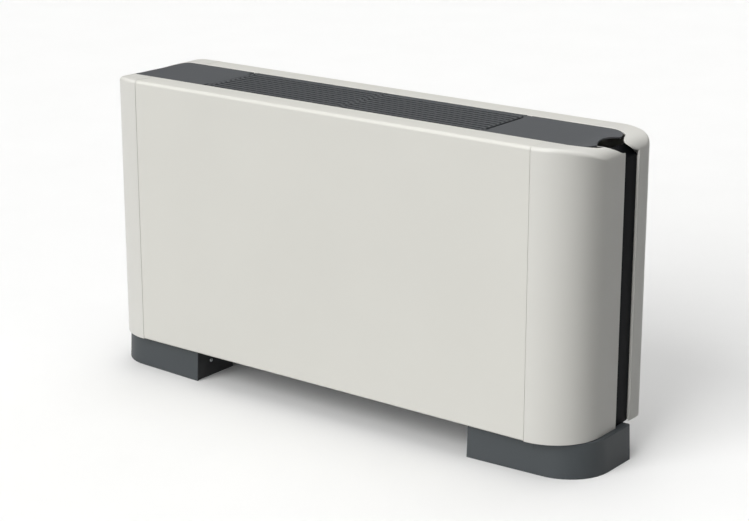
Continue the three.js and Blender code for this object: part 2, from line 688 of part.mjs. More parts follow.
// Fan housing for the right-hand fan: two cheeks with round inlets and the spiral wall between them.
function fanHousing() {
  const [x0, x1] = [SCROLL_X, SCROLL_X + SCROLL_WIDTH];
  return cut(
    pull("x", scrollOutline(0), x0, x1),
    pull("x", scrollOutline(SCROLL_SHEET), x0 + SCROLL_SHEET, x1 - SCROLL_SHEET),
    bar("x", WHEEL_RADIUS - BLADE_DEPTH, x0 - 1, x1 + 1, [0, FAN_Z], 24),
  );
}

// Double inlet fan wheel: forward curved blades between two rims, held by a disc and hub in the middle.
function fanWheel() {
  const x0 = SCROLL_X + (SCROLL_WIDTH - WHEEL_LENGTH) / 2;
  const x1 = x0 + WHEEL_LENGTH;
  const middle = (x0 + x1) / 2;
  const ring = (from, to, inner) =>
    cut(
      bar("x", WHEEL_RADIUS, from, to, [0, FAN_Z], BLADE_COUNT),
      bar("x", inner, from - 1, to + 1, [0, FAN_Z], BLADE_COUNT),
    );
  const hub = bar("x", 3 * SHAFT_RADIUS, middle - HUB_LENGTH / 2, middle + HUB_LENGTH / 2, [0, FAN_Z], 12);
  let body = join(
    ring(x0, x0 + WHEEL_RIM, WHEEL_RADIUS - BLADE_DEPTH - 1),
    ring(x1 - WHEEL_RIM, x1, WHEEL_RADIUS - BLADE_DEPTH - 1),
    bar("x", WHEEL_RADIUS - BLADE_DEPTH + 1, middle - 1, middle + 1, [0, FAN_Z], BLADE_COUNT),
    hub,
  );
  for (let i = 0; i < BLADE_COUNT; i++) {
    const turn = (360 * i) / BLADE_COUNT;
    const arc = (offset) =>
      Array.from({ length: 3 }, (_, k) => {
        const radius = WHEEL_RADIUS - 0.6 - (BLADE_DEPTH * k) / 2;
        const lean = turn + BLADE_LEAN * Math.sqrt(k / 2);
        return bend([0, FAN_Z], radius, lean + offset, lean + offset, 1)[0];
      });
    const half = THREE.MathUtils.radToDeg(BLADE_SHEET / (2 * WHEEL_RADIUS));
    body = body.add(pull("x", [...arc(-half), ...arc(half).reverse()], x0 + 1, x1 - 1));
  }
  return cut(body, bar("x", SHAFT_RADIUS + FIT, x0 - 1, x1 + 1, [0, FAN_Z], 12));
}

const fanShaft = () => {
  const reach = SCROLL_X + SCROLL_WIDTH / 2 + 22;
  return bar("x", SHAFT_RADIUS, -reach, reach, [0, FAN_Z], 12);
};

// Motor with a bearing boss at each end, a waist for its cradle and a bore for the fan shaft.
function fanMotor() {
  const half = MOTOR_LENGTH / 2;
  const profile = [
    [0, -half - BEARING_BOSS],
    [11, -half - BEARING_BOSS],
    [13, -half - 1],
    [MOTOR_RADIUS - 6, -half],
    [MOTOR_RADIUS, -half + 6],
    [MOTOR_RADIUS, -CRADLE_WIDTH / 2 - 6],
    [MOTOR_RADIUS - MOTOR_WAIST, -CRADLE_WIDTH / 2 - 4],
  ];
  const whole = [...profile, ...profile.map(([r, x]) => [r, -x]).reverse()];
  const turned = new THREE.LatheGeometry(whole.map(([r, x]) => new THREE.Vector2(r, x)), 20);
  const body = solid(turned.rotateZ(-Math.PI / 2).translate(0, 0, FAN_Z));
  return cut(body, bar("x", SHAFT_RADIUS + FIT, -half - 20, half + 20, [0, FAN_Z], 12));
}

// Cradle: a band round the motor with two arms that hang from the deck.
function motorCradle() {
  const [x0, x1] = [-CRADLE_WIDTH / 2, CRADLE_WIDTH / 2];
  const inner = MOTOR_RADIUS - MOTOR_WAIST + 2 * FIT;
  const arm = (y) => block(x0, x1, y, y + CRADLE_SHEET, FAN_Z, DECK_Z - FIT);
  const foot = (y) => block(x0, x1, y, y + CRADLE_FOOT, DECK_Z - FIT - CRADLE_SHEET, DECK_Z - FIT);
  const band = join(
    bar("x", inner + CRADLE_SHEET, x0, x1, [0, FAN_Z], 20),
    arm(-inner - CRADLE_SHEET),
    arm(inner),
    foot(-inner - CRADLE_SHEET),
    foot(inner + CRADLE_SHEET - CRADLE_FOOT),
  );
  return cut(band, bar("x", inner, x0 - 1, x1 + 1, [0, FAN_Z], 20));
}

// ---- Inside: coil, trays and filter ----------------------------------------------------------------------
// Puts a solid drawn upright round the origin at the coil's place, tilted about the cabinet's length.
function atCoil(body) {
  const geometry = geometryOf(body).rotateX(THREE.MathUtils.degToRad(-COIL_TILT));
  return solid(geometry.translate(0, COIL_Y, COIL_Z));
}

const ROW_PITCH = COIL_HEIGHT / (TUBE_ROWS + 0.25);
const tubePlaces = Array.from({ length: TUBE_ROWS }, (_, i) => (i - (TUBE_ROWS - 1) / 2) * ROW_PITCH);

// The two tube ends that the headers serve: the lower one is the supply, the upper one the return.
const stubPlaces = [
  [-TUBE_PITCH / 2, tubePlaces[0]],
  [TUBE_PITCH / 2, tubePlaces[TUBE_ROWS - 1]],
];

// Coil: one comb of fins expanded on its tubes, with return bends at the right end and stubs at the left.
function coil() {
  const half = COIL_THICKNESS / 2;
  const pitch = (2 * COIL_HALF) / (FIN_COUNT - 0.5);
  const teeth = (side) =>
    Array.from({ length: FIN_COUNT }, (_, i) => {
      const x = -COIL_HALF + i * pitch;
      const root = side * (half - FIN_DEPTH);
      const tip = [[x, side * half], [x + pitch / 2, side * half]];
      return i + 1 < FIN_COUNT ? [...tip, [x + pitch / 2, root], [x + pitch, root]] : tip;
    }).flat();
  let body = pull("z", [...teeth(-1), ...teeth(1).reverse()], -COIL_HEIGHT / 2, COIL_HEIGHT / 2);
  const ring = new THREE.Shape(bend([0, 0], TUBE_RADIUS, 0, 300, 5).map(([u, v]) => new THREE.Vector2(u, v)));
  for (const z of tubePlaces) {
    const start = COIL_HALF + 4;
    const arc = bend([start, 0], TUBE_PITCH / 2, -90, 90, 4);
    const path = [[COIL_HALF - 2, arc[0][1]], ...arc, [COIL_HALF - 2, arc[4][1]]];
    const curve = new THREE.CatmullRomCurve3(path.map(([x, y]) => new THREE.Vector3(x, y, z)));
    body = body.add(solid(new THREE.ExtrudeGeometry(ring, { steps: 8, extrudePath: curve })));
  }
  for (const place of stubPlaces)
    body = body.add(bar("x", TUBE_RADIUS, -COIL_HALF - STUB, -COIL_HALF + 2, place, 8));
  return atCoil(body);
}

// Coil end plate: folded at top and bottom so that it reaches the frame side plate, and pierced for the tubes.
function coilEndPlate(side) {
  const half = COIL_THICKNESS / 2 + 3;
  const face = COIL_HALF + FIT;
  const flange = (z) => block(face, FRAME_X - FIT, -half, half, z, z + STEEL);
  const holes = side > 0
    ? tubePlaces.flatMap((z) => [[-TUBE_PITCH / 2, z], [TUBE_PITCH / 2, z]])
    : stubPlaces;
  const plate = join(
    block(face, face + STEEL, -half, half, -COIL_HEIGHT / 2 - PLATE_EDGE, COIL_HEIGHT / 2 + PLATE_EDGE),
    flange(-COIL_HEIGHT / 2 - PLATE_EDGE),
    flange(COIL_HEIGHT / 2 + PLATE_EDGE - STEEL),
  );
  const pierced = cut(plate, ...holes.map((place) => bar("x", TUBE_RADIUS + 0.9, face - 1, face + 3, place, 6)));
  return atCoil(side > 0 ? pierced : mirrored(pierced));
}

// Water header: a capped pipe along the coil's end, with a branch through the frame window to a hexagon union.
function header(index) {
  const [y, z] = stubPlaces[index];
  const x = -COIL_HALF - STUB - FIT - HEADER_RADIUS;
  const toward = Math.sign(z);
  const ends = [z + toward * HEADER_END, z + toward * (HEADER_END - HEADER_LENGTH)];
  const branch = z - toward * HEADER_BRANCH;
  return atCoil(
    join(
      bar("z", HEADER_RADIUS, Math.min(...ends), Math.max(...ends), [x, y], 16),
      bar("x", HEADER_RADIUS - 2, x - UNION_REACH, x, [y, branch], 16),
      bar("x", HEADER_RADIUS + 5, x - UNION_REACH - UNION_LENGTH, x - UNION_REACH, [y, branch], 6),
    ),
  );
}

// Manual air vent screwed on top of the return header.
function airVent() {
  const [y, z] = stubPlaces[1];
  const x = -COIL_HALF - STUB - FIT - HEADER_RADIUS;
  const base = z + HEADER_END + FIT;
  return atCoil(
    join(
      bar("z", 5, base, base + 6, [x, y], 6),
      bar("z", 3, base + 5, base + 12, [x, y], 12),
      bar("x", 1.6, x - 9, x, [y, base + 3], 8),
    ),
  );
}

// Drip tray under the coil's lower edge, with a spout through the left frame plate.
function dripTray() {
  const x = FRAME_X - FIT;
  const base = DECK_Z + STEEL + FIT;
  const half = TRAY_WIDTH / 2;
  const bowl = cut(
    pull("x", [
      [TRAY_Y - half + TRAY_FLARE, base],
      [TRAY_Y + half - TRAY_FLARE, base],
      [TRAY_Y + half, base + TRAY_DEPTH],
      [TRAY_Y - half, base + TRAY_DEPTH],
    ], -x, x),
    pull("x", [
      [TRAY_Y - half + TRAY_FLARE + TRAY_WALL, base + TRAY_WALL],
      [TRAY_Y + half - TRAY_FLARE - TRAY_WALL, base + TRAY_WALL],
      [TRAY_Y + half - TRAY_WALL, base + TRAY_DEPTH + 1],
      [TRAY_Y - half + TRAY_WALL, base + TRAY_DEPTH + 1],
    ], -x + TRAY_WALL, x - TRAY_WALL),
  );
  const middle = [TRAY_Y, DECK_Z + DRAIN_RISE];
  return cut(
    bowl.add(bar("x", SPOUT_RADIUS, -x - SPOUT_REACH, -x + 1, middle, 16)),
    bar("x", SPOUT_RADIUS - 2, -x - SPOUT_REACH - 1, -x + TRAY_WALL + 1, middle, 16),
  );
}

// Auxiliary tray in the left end, under the water connections and the drip tray's spout.
function auxiliaryTray() {
  const x1 = -FRAME_X - STEEL - FIT;
  const x0 = x1 - AUX_LENGTH;
  const z1 = DECK_Z;
  const bowl = cut(
    block(x0, x1, AUX_Y0, AUX_Y1, z1 - AUX_DEPTH, z1),
    block(
      x0 + TRAY_WALL,
      x1 - TRAY_WALL,
      AUX_Y0 + TRAY_WALL,
      AUX_Y1 - TRAY_WALL,
      z1 - AUX_DEPTH + TRAY_WALL,
      z1 + 1,
    ),
  );
  const spout = [x0 + AUX_SPOUT[0], AUX_Y0 + AUX_SPOUT[1]];
  const low = z1 - AUX_DEPTH - AUX_SPOUT_LENGTH;
  return cut(
    bowl.add(bar("z", SPOUT_RADIUS, low, z1 - AUX_DEPTH + 1, spout, 16)),
    bar("z", SPOUT_RADIUS - 2, low - 1, z1 - AUX_DEPTH + TRAY_WALL + 1, spout, 16),
  );
}

// Air filter: a frame with cross bars and a fine sheet of mesh, which drops straight out of its guides.
function airFilter() {
  const x = FRAME_X - RAIL_WIDTH - 2 * FIT;
  const z0 = BOTTOM - FILTER_SHOW;
  const z1 = z0 + FILTER_FRAME;
  const [y0, y1] = [FRONT + BOTTOM_LIP + FIT, FRONT + BOTTOM_LIP + FIT + FILTER_DEPTH];
  const half = FILTER_RIB / 2;
  const rib = (across) => block(across - half, across + half, y0 + 1, y1 - 1, z0 + 1, z1 - 1);
  const bars = [-x / 2, 0, x / 2].map(rib);
  const middle = (z0 + z1) / 2;
  return join(
    cut(
      block(-x, x, y0, y1, z0, z1),
      block(-x + FILTER_BAR, x - FILTER_BAR, y0 + FILTER_BAR, y1 - FILTER_BAR, z0 - 1, z1 + 1),
    ),
    block(-x + 1, x - 1, y0 + 1, y1 - 1, middle - FILTER_SHEET / 2, middle + FILTER_SHEET / 2),
    block(-x + 1, x - 1, (y0 + y1) / 2 - 2, (y0 + y1) / 2 + 2, z0 + 2, z1 - 2),
    ...bars,
  );
}

// Guide rail fixed to the frame side plate, against which the filter's end slides.
function filterGuide() {
  const x1 = FRAME_X - FIT;
  const x0 = x1 - RAIL_WIDTH;
  const y0 = FRONT + BOTTOM_LIP + 1;
  const stop = BOTTOM - FILTER_SHOW + FILTER_FRAME + FIT;
  return join(
    block(x0, x1, y0, y0 + FILTER_DEPTH, BOTTOM + FIT, stop + 2),
    block(x0 - 6, x1, y0, y0 + FILTER_DEPTH, stop, stop + 2),
  );
}

// ---- Feet ------------------------------------------------------------------------------------------------
// Foot cover: a moulded shoe round front, corner and end, a little narrower at its top, with a flange that closes
// the part which stands out beyond the casing.
function footCover() {
  const end = HALF + FOOT_OVERHANG;
  const front = FRONT + FOOT_FRONT;
  const [rx, ry] = [end - FOOT_CORNER_X, FOOT_CORNER_Y - front - FOOT_TAPER];
  const steps = 10;
  const outline = [[FOOT_INNER, front, 0, 1]];
  for (let i = 0; i <= steps; i++) {
    const angle = THREE.MathUtils.degToRad(-90 + (90 * i) / steps);
    const [c, s] = [Math.cos(angle), Math.sin(angle)];
    const length = Math.hypot(c / rx, s / ry);
    outline.push([FOOT_CORNER_X + rx * c, FOOT_CORNER_Y + ry * s, -c / rx / length, -s / ry / length]);
  }
  outline.push([end, FOOT_REAR - 3, -1, 0], [end - 1.5, FOOT_REAR, -1, 0]);
  const top = BOTTOM - FIT;
  const sections = outline.map(([x, y, nx, ny]) => {
    const at = (inset, z) => new THREE.Vector3(x + nx * inset, y + ny * inset, z);
    return [
      at(0, 0),
      at(FOOT_DRAFT - 0.4, top - 1.2),
      at(FOOT_DRAFT + 0.8, top),
      at(FOOT_DRAFT + FOOT_FLANGE, top),
      at(FOOT_DRAFT + FOOT_FLANGE, top - FOOT_WALL + 0.5),
      at(FOOT_DRAFT + FOOT_WALL, top - FOOT_WALL + 0.5),
      at(FOOT_WALL, 0),
    ];
  });
  const rib = (x) => block(x, x + 2, front + FOOT_TAPER + 1, front + 20, 1, top - 1);
  return join(skin(sections), rib(FOOT_INNER + FOOT_RIB_SPACING), rib(FOOT_INNER + 2 * FOOT_RIB_SPACING));
}

// Foot bracket: a folded steel stirrup that takes the weight, with a tab under the front panel's lip and a
// screw hole in its inner cheek.
function footBracket() {
  const x0 = FOOT_INNER + FOOT_WALL;
  const [x1, z1] = [x0 + BRACKET_WIDTH, BOTTOM - FIT];
  const front = FRONT + FOOT_FRONT;
  const y0 = front + FOOT_TAPER + FOOT_DRAFT + FOOT_FLANGE + 3 * FIT;
  const s = BRACKET_SHEET;
  const under = z1 - FOOT_WALL;
  const cheek = front + FOOT_DRAFT + FOOT_WALL + FIT;
  const ring = pull("y", swap([[x0, 0], [x1, 0], [x1, z1], [x0, z1]]), y0, BRACKET_REAR);
  const hollow = pull(
    "y",
    swap([[x0 + s, s], [x1 - s, s], [x1 - s, z1 - s], [x0 + s, z1 - s]]),
    y0 - 1,
    BRACKET_REAR + 1,
  );
  return cut(
    join(
      ring.subtract(hollow),
      block(x0, x0 + s, cheek, y0 + 1, 0, under),
      block(x0 - TAB_REACH, x0 + 1, cheek, cheek + 14, under - 3, under),
    ),
    bar("x", 2.5, x0 - 1, x0 + s + 1, [BRACKET_SCREW_Y, BRACKET_SCREW_Z], 12),
    bar("z", 4, -1, s + 1, [(x0 + x1) / 2, (y0 + BRACKET_REAR) / 2], 12),
  );
}

// ---- Controls under the right flap -----------------------------------------------------------------------
const BOX_X = FRAME_X + STEEL + FIT;
const GLAND_PLACE = [BOX_X + BOX_LENGTH - GLAND_SETBACK[0], BOX_WIDTH / 2 - GLAND_SETBACK[1]];
const knobX = (index) => BOX_X + BOX_LENGTH / 2 + (index - 0.5) * KNOB_SPACING;

// Control box: a moulded tub open at the top, screwed to the outside of the right frame side plate.
function controlBox() {
  const [x0, x1] = [BOX_X, BOX_X + BOX_LENGTH];
  const [y0, y1] = [-BOX_WIDTH / 2, BOX_WIDTH / 2];
  const [z0, z1] = [BOX_TOP - BOX_HEIGHT, BOX_TOP - COVER_SHEET];
  const w = BOX_WALL;
  return cut(
    block(x0, x1, y0, y1, z0, z1),
    block(x0 + w, x1 - w, y0 + w, y1 - w, z0 + w, z1 + 1),
    bar("z", GLAND_RADIUS + FIT, z0 - 1, z0 + w + 1, GLAND_PLACE, 16),
  );
}

// Cover of the control box, with a collar round each knob's stem.
function controlCover() {
  const [x0, x1] = [BOX_X, BOX_X + BOX_LENGTH];
  const [y0, y1] = [-BOX_WIDTH / 2, BOX_WIDTH / 2];
  const z0 = BOX_TOP - COVER_SHEET + FIT;
  const cover = join(
    block(x0, x1, y0, y1, z0, BOX_TOP),
    ...[0, 1].map((i) => bar("z", KNOB_RADIUS + 3, BOX_TOP - 1, BOX_TOP + 1, [knobX(i), 0], 20)),
  );
  const holes = [0, 1].map((i) => bar("z", STEM_RADIUS + FIT, z0 - 1, BOX_TOP + 2, [knobX(i), 0], 10));
  return cut(cover, ...holes);
}

// Control knob: a fluted cap with a raised pointer and a stem through the cover.
function knob(index) {
  const x = knobX(index);
  const base = BOX_TOP + 1 + FIT;
  const flutes = Array.from({ length: KNOB_FLUTES }, (_, i) => {
    const degrees = (360 / KNOB_FLUTES) * i;
    return bend([x, 0], KNOB_RADIUS + 1, degrees, degrees, 1)[0];
  });
  const cap = cut(
    join(
      bar("z", KNOB_RADIUS, base, base + KNOB_HEIGHT - 3, [x, 0], 20),
      bar("z", KNOB_RADIUS - 1.5, base, base + KNOB_HEIGHT - 1, [x, 0], 20),
    ),
    ...flutes.map((place) => bar("z", 2.4, base + 3, base + KNOB_HEIGHT, place, 6)),
  );
  return join(
    cap,
    block(x - 1.2, x + 1.2, 0, KNOB_RADIUS - 2, base + KNOB_HEIGHT - 2, base + KNOB_HEIGHT),
    bar("z", STEM_RADIUS, BOX_TOP - 8, base + 1, [x, 0], 10),
  );
}

// Gland in the floor of the control box for the supply cable.
function cableGland() {
  const z0 = BOX_TOP - BOX_HEIGHT;
  return cut(
    join(
      bar("z", GLAND_RADIUS + 4, z0 - 8, z0 - FIT, GLAND_PLACE, 6),
      bar("z", GLAND_RADIUS, z0 - 16, z0 + GLAND_RADIUS, GLAND_PLACE, 16),
    ),
    bar("z", GLAND_BORE, z0 - 17, z0 + GLAND_RADIUS + 1, GLAND_PLACE, 16),
  );
}

// Motor capacitor: a can in a clip on the right frame side plate.
function motorCapacitor() {
  const x = BOX_X + CAPACITOR_RADIUS + 2;
  const z0 = BOTTOM + CAPACITOR_RISE;
  return join(
    bar("z", CAPACITOR_RADIUS, z0, z0 + CAPACITOR_LENGTH, [x, 0], 24),
    bar("z", CAPACITOR_RADIUS - 4, z0 - 4, z0 + 1, [x, 0], 16),
    block(BOX_X, x, -7, 7, z0 + 22, z0 + 40),
  );
}

// ---- Assembly --------------------------------------------------------------------------------------------
piece("front_panel", frontPanel(), WHITE_PAINT);
piece("rear_top_rail", rearTopRail(), WHITE_PAINT);
piece("back_panel", backPanel(), ZINC);
pair("side_moulding", sideMoulding(), WHITE_PLASTIC);
pair("channel_insert", channelInsert(), BLACK_PLASTIC);
pair("outlet_grille", outletGrille(), DARK_PLASTIC);
pair("flap_pin", hingePin(), ZINC);
pair("access_flap", accessFlap(), DARK_PLASTIC);
pair("frame_side", frameSide(), ZINC);
piece("fan_deck", fanDeck(), ZINC);
pair("fan_housing", fanHousing(), BLACK_PLASTIC);
piece("fan_motor", fanMotor(), DARK_STEEL);
piece("motor_cradle", motorCradle(), ZINC);
piece("fan_shaft", fanShaft(), ZINC, rotor);
piece("right_fan_wheel", fanWheel(), BLACK_PLASTIC, rotor);
piece("left_fan_wheel", mirrored(fanWheel()), BLACK_PLASTIC, rotor);
piece("coil", coil(), ALUMINIUM);
piece("right_coil_plate", coilEndPlate(1), ZINC);
piece("left_coil_plate", coilEndPlate(-1), ZINC);
piece("supply_header", header(0), COPPER);
piece("return_header", header(1), COPPER);
piece("air_vent", airVent(), BRASS);
piece("drip_tray", dripTray(), BLACK_PLASTIC);
piece("auxiliary_tray", auxiliaryTray(), BLACK_PLASTIC);
piece("air_filter", airFilter(), BLACK_PLASTIC);
pair("filter_guide", filterGuide(), BLACK_PLASTIC);
pair("foot_cover", footCover(), DARK_PLASTIC);
pair("foot_bracket", footBracket(), DARK_STEEL);
piece("control_box", controlBox(), DARK_PLASTIC);
piece("control_cover", controlCover(), DARK_PLASTIC);
piece("speed_knob", knob(0), WHITE_PLASTIC);
piece("thermostat_knob", knob(1), WHITE_PLASTIC);
piece("cable_gland", cableGland(), BLACK_PLASTIC);
piece("motor_capacitor", motorCapacitor(), DARK_STEEL);

export default unit;
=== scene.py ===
# %% [markdown]
# # A floor standing fan coil unit
#
# The object is a low, wide room cabinet on two dark plinth feet. Fans low inside it draw room air up
# through a filter, push it through a water coil and blow it out of a long slatted grille in the top. The
# solids of all its pieces come ready made, in metres. This lesson gives them rounded edges, real finishes
# and the small repeated details, such as slats, fins, blades and screws, that a render needs.

import json
import math

import bmesh
import bpy
from mathutils import Matrix, Vector

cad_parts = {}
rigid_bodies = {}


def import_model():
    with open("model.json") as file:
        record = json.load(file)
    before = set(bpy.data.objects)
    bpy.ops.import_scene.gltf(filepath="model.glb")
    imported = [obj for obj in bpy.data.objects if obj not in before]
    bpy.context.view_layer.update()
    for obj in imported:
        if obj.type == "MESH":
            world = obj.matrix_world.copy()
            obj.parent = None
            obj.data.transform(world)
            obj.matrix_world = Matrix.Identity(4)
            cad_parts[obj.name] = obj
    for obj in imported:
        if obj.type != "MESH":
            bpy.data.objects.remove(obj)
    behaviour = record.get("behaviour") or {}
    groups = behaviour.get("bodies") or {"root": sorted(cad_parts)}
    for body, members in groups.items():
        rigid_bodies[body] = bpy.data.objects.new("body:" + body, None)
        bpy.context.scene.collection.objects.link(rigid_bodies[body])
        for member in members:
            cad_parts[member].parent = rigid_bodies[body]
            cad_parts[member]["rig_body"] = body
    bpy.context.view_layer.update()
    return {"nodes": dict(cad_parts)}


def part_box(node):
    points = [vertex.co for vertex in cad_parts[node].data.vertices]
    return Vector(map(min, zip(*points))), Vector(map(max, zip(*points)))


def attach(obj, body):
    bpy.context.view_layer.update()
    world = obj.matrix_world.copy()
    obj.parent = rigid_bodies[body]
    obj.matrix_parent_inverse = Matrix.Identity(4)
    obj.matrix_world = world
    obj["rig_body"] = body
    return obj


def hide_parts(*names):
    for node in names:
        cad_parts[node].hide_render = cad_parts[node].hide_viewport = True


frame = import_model()
NODES = frame["nodes"]

# %% Put something in the scene
def linked(name, data):
    """A new object with this data, in the scene."""
    made = bpy.data.objects.new(name, data)
    bpy.context.scene.collection.objects.link(made)
    return made


# %% [markdown]
# ## The camera
#
# The photograph was taken from the front right, a little above the cabinet. Its upright edges are nearly
# parallel, so the camera stood far off with a long lens. The place below was fitted to the cabinet's
# corners, seams and grille ends, with no lens shift, so the same camera also serves for other views.

# %% Place the camera
MM = 0.001
CAMERA_PLACE = Vector((1951.8, -2528.6, 1213.2)) * MM
CAMERA_TURN = math.radians(37.257)
CAMERA_DIP = math.radians(16.739)
LENS, SENSOR = 94.74, 36  # in millimetres

camera_data = bpy.data.cameras.new("camera")
camera_data.lens = LENS
camera_data.sensor_width = SENSOR
camera_data.clip_start, camera_data.clip_end = 0.05, 60
camera = linked("camera", camera_data)
camera.location = CAMERA_PLACE
camera.rotation_euler = (math.pi / 2 - CAMERA_DIP, 0, CAMERA_TURN)
bpy.context.scene.camera = camera
print("the camera stands", round(CAMERA_PLACE.length, 2), "m from the cabinet's foot")

# %% [markdown]
# ## Helpers for finishes
#
# Colours are picked on a screen as sRGB hex values, and Blender mixes light with linear ones, so one
# function does the step between them. A second one adds a node: it takes the node's kind, its settings
# and what feeds its sockets, which keeps each material's recipe short enough to read at a glance. A last
# one lets patterns shift a finish's colour and gloss.

# %% Turn a screen colour into a linear one
def colour(hex_value):
    """A hex colour such as "D9D8D2" as linear red, green, blue and alpha."""
    channels = [int(hex_value[i : i + 2], 16) / 255 for i in (0, 2, 4)]
    return [c / 12.92 if c <= 0.04045 else ((c + 0.055) / 1.055) ** 2.4 for c in channels] + [1.0]


# %% Add one node
def add(tree, kind, feeds=None, **settings):
    """A new node. feeds maps a socket's name or number to a value, or to another node's output socket."""
    made = tree.nodes.new(kind)
    for name, value in settings.items():
        setattr(made, name, value)
    for key, value in (feeds or {}).items():
        socket = made.inputs[key]
        if isinstance(value, bpy.types.NodeSocket):
            tree.links.new(value, socket)
        else:
            socket.default_value = value
    return made


# %% Start a material
def start(name, **constants):
    """A new material: its Principled shader has constants by socket name, and it has object coordinates."""
    made = bpy.data.materials.new(name)
    made.use_nodes = True
    tree = made.node_tree
    tree.nodes.clear()
    by_socket = {key.replace("_", " "): value for key, value in constants.items()}
    shader = add(tree, "ShaderNodeBsdfPrincipled", by_socket)
    add(tree, "ShaderNodeOutputMaterial", {"Surface": shader.outputs[0]})
    return made, tree, shader, add(tree, "ShaderNodeTexCoord").outputs["Object"]


# %% Shade and gloss between two limits
def vary(tree, shader, blend, shades, marks, gloss_limits):
    """Sets the colour between two shades by one pattern, and the roughness between two limits by another."""
    deep, pale = (colour(hex_value) for hex_value in shades)
    shade = add(tree, "ShaderNodeMix", {"Factor": blend, 6: deep, 7: pale}, data_type="RGBA")
    low, high = gloss_limits
    gloss = add(tree, "ShaderNodeMapRange", {"Value": marks, "To Min": low, "To Max": high})
    tree.links.new(shade.outputs[2], shader.inputs["Base Color"])
    tree.links.new(gloss.outputs[0], shader.inputs["Roughness"])


# %% [markdown]
# ### Powder coated steel
#
# The front, the rear rail and the back are pressed sheet steel. Their paint is a powder, melted on in an
# oven: it keeps a faint ripple, like orange skin, about two millimetres across, and a soft satin gloss.
# The ripple is a low bump from a noise, and a second, broad noise shifts the white by a trace, as on any
# large panel.

# %% Powder coat, warm white
BROAD_NOISE = 0.22  # metres over which the shade shifts once
PAINT_GLOSS, METAL_GLOSS = 0.04, 0.07  # how far the roughness strays to either side


def ripple(name, pale, deep, grain_mm, depth_mm, roughness, **constants):
    """Paint or moulded plastic: two close shades over a broad noise, a fine grain in bump and gloss."""
    made, tree, shader, spot = start(name, **constants)
    broad = add(tree, "ShaderNodeTexNoise", {"Vector": spot, "Scale": 1 / BROAD_NOISE, "Detail": 2.0})
    grain = add(tree, "ShaderNodeTexNoise", {"Vector": spot, "Scale": 1 / (grain_mm * MM), "Detail": 3.0})
    height = {"Height": grain.outputs["Fac"], "Distance": depth_mm * MM, "Strength": 0.6}
    tree.links.new(add(tree, "ShaderNodeBump", height).outputs[0], shader.inputs["Normal"])
    limits = roughness - PAINT_GLOSS, roughness + PAINT_GLOSS
    vary(tree, shader, broad.outputs["Fac"], (deep, pale), grain.outputs["Fac"], limits)
    return made


POWDER_COAT = ripple("powder_coated_steel_white", "DCDBD4", "D6D5CE", 2.0, 0.02, 0.42, IOR=1.5)
print(POWDER_COAT.name)

# %% [markdown]
# ### Moulded plastics
#
# The cabinet's ends are ABS, injection moulded in a polished tool and matched to the paint. The grille,
# the flaps and the feet are a dark grey ABS whose tool was spark eroded: its fine grain, about half a
# millimetre across, scatters light and makes them matt. The strip in each end is the same plastic in near
# black.

# %% Moulded plastics of the outside
WHITE_ABS = ripple("moulded_abs_white", "DBDAD4", "D5D4CE", 1.2, 0.01, 0.38, IOR=1.53)
DARK_ABS = ripple("spark_grained_abs_dark_grey", "4B4E51", "45484B", 0.6, 0.03, 0.52, IOR=1.53)
FOOT_ABS = ripple("spark_grained_abs_feet", "404548", "3A3F42", 0.6, 0.03, 0.55, IOR=1.53)
BLACK_ABS = ripple(
    "matt_abs_near_black", "0C0E11", "08090C", 0.6, 0.02, 0.62, IOR=1.53, Specular_IOR_Level=0.08
)
GREY_ABS = ripple("moulded_abs_control_box", "4A4E50", "444849", 0.8, 0.02, 0.5, IOR=1.53)
KNOB_ABS = ripple("moulded_abs_knob_light_grey", "BDBCB6", "B4B3AD", 0.6, 0.01, 0.35, IOR=1.53)
FAN_PLASTIC = ripple("moulded_polypropylene_black", "1E2022", "17191B", 0.8, 0.01, 0.45, IOR=1.49)
print("plastics:", ", ".join(m.name for m in (WHITE_ABS, DARK_ABS, FOOT_ABS, BLACK_ABS, GREY_ABS)))

# %% [markdown]
# ### Metals inside the cabinet
#
# The frame is galvanised sheet. Its zinc froze into crystals, called spangle, a centimetre or so across,
# each with its own grey and gloss, so a Voronoi pattern's cell colour drives both. The coil has bare
# aluminium fins on copper tubes and headers that have dulled to brown, and its air vent is turned brass.

# %% Galvanised sheet
SPANGLE_MM = 9


def galvanised():
    """Galvanised sheet, whose every crystal has its own grey and gloss."""
    made, tree, shader, spot = start("galvanised_sheet_spangled", Metallic=1.0)
    cells = add(tree, "ShaderNodeTexVoronoi", {"Vector": spot, "Scale": 1 / (SPANGLE_MM * MM)})
    one = add(tree, "ShaderNodeSeparateColor", {"Color": cells.outputs["Color"]})
    vary(tree, shader, one.outputs[0], ("9FA5A8", "BFC4C6"), one.outputs[1], (0.32, 0.5))
    return made


GALVANISED = galvanised()
print(GALVANISED.name, "with spangle of", SPANGLE_MM, "mm")

# %% Turned, drawn and rolled metals
STREAK = 0.04  # along the tool's way the marks repeat this much more slowly


def metal(name, pale, deep, streak_mm, axis, roughness):
    """Bare metal with fine marks left by the tool, drawn out along one axis."""
    made, tree, shader, spot = start(name, Metallic=1.0)
    stretch = [STREAK if letter == axis else 1.0 for letter in "XYZ"]
    drawn = add(tree, "ShaderNodeMapping", {"Vector": spot, "Scale": stretch}).outputs[0]
    noise = add(tree, "ShaderNodeTexNoise", {"Vector": drawn, "Scale": 1 / (streak_mm * MM)})
    marks = noise.outputs["Fac"]
    vary(tree, shader, marks, (deep, pale), marks, (roughness - METAL_GLOSS, roughness + METAL_GLOSS))
    return made


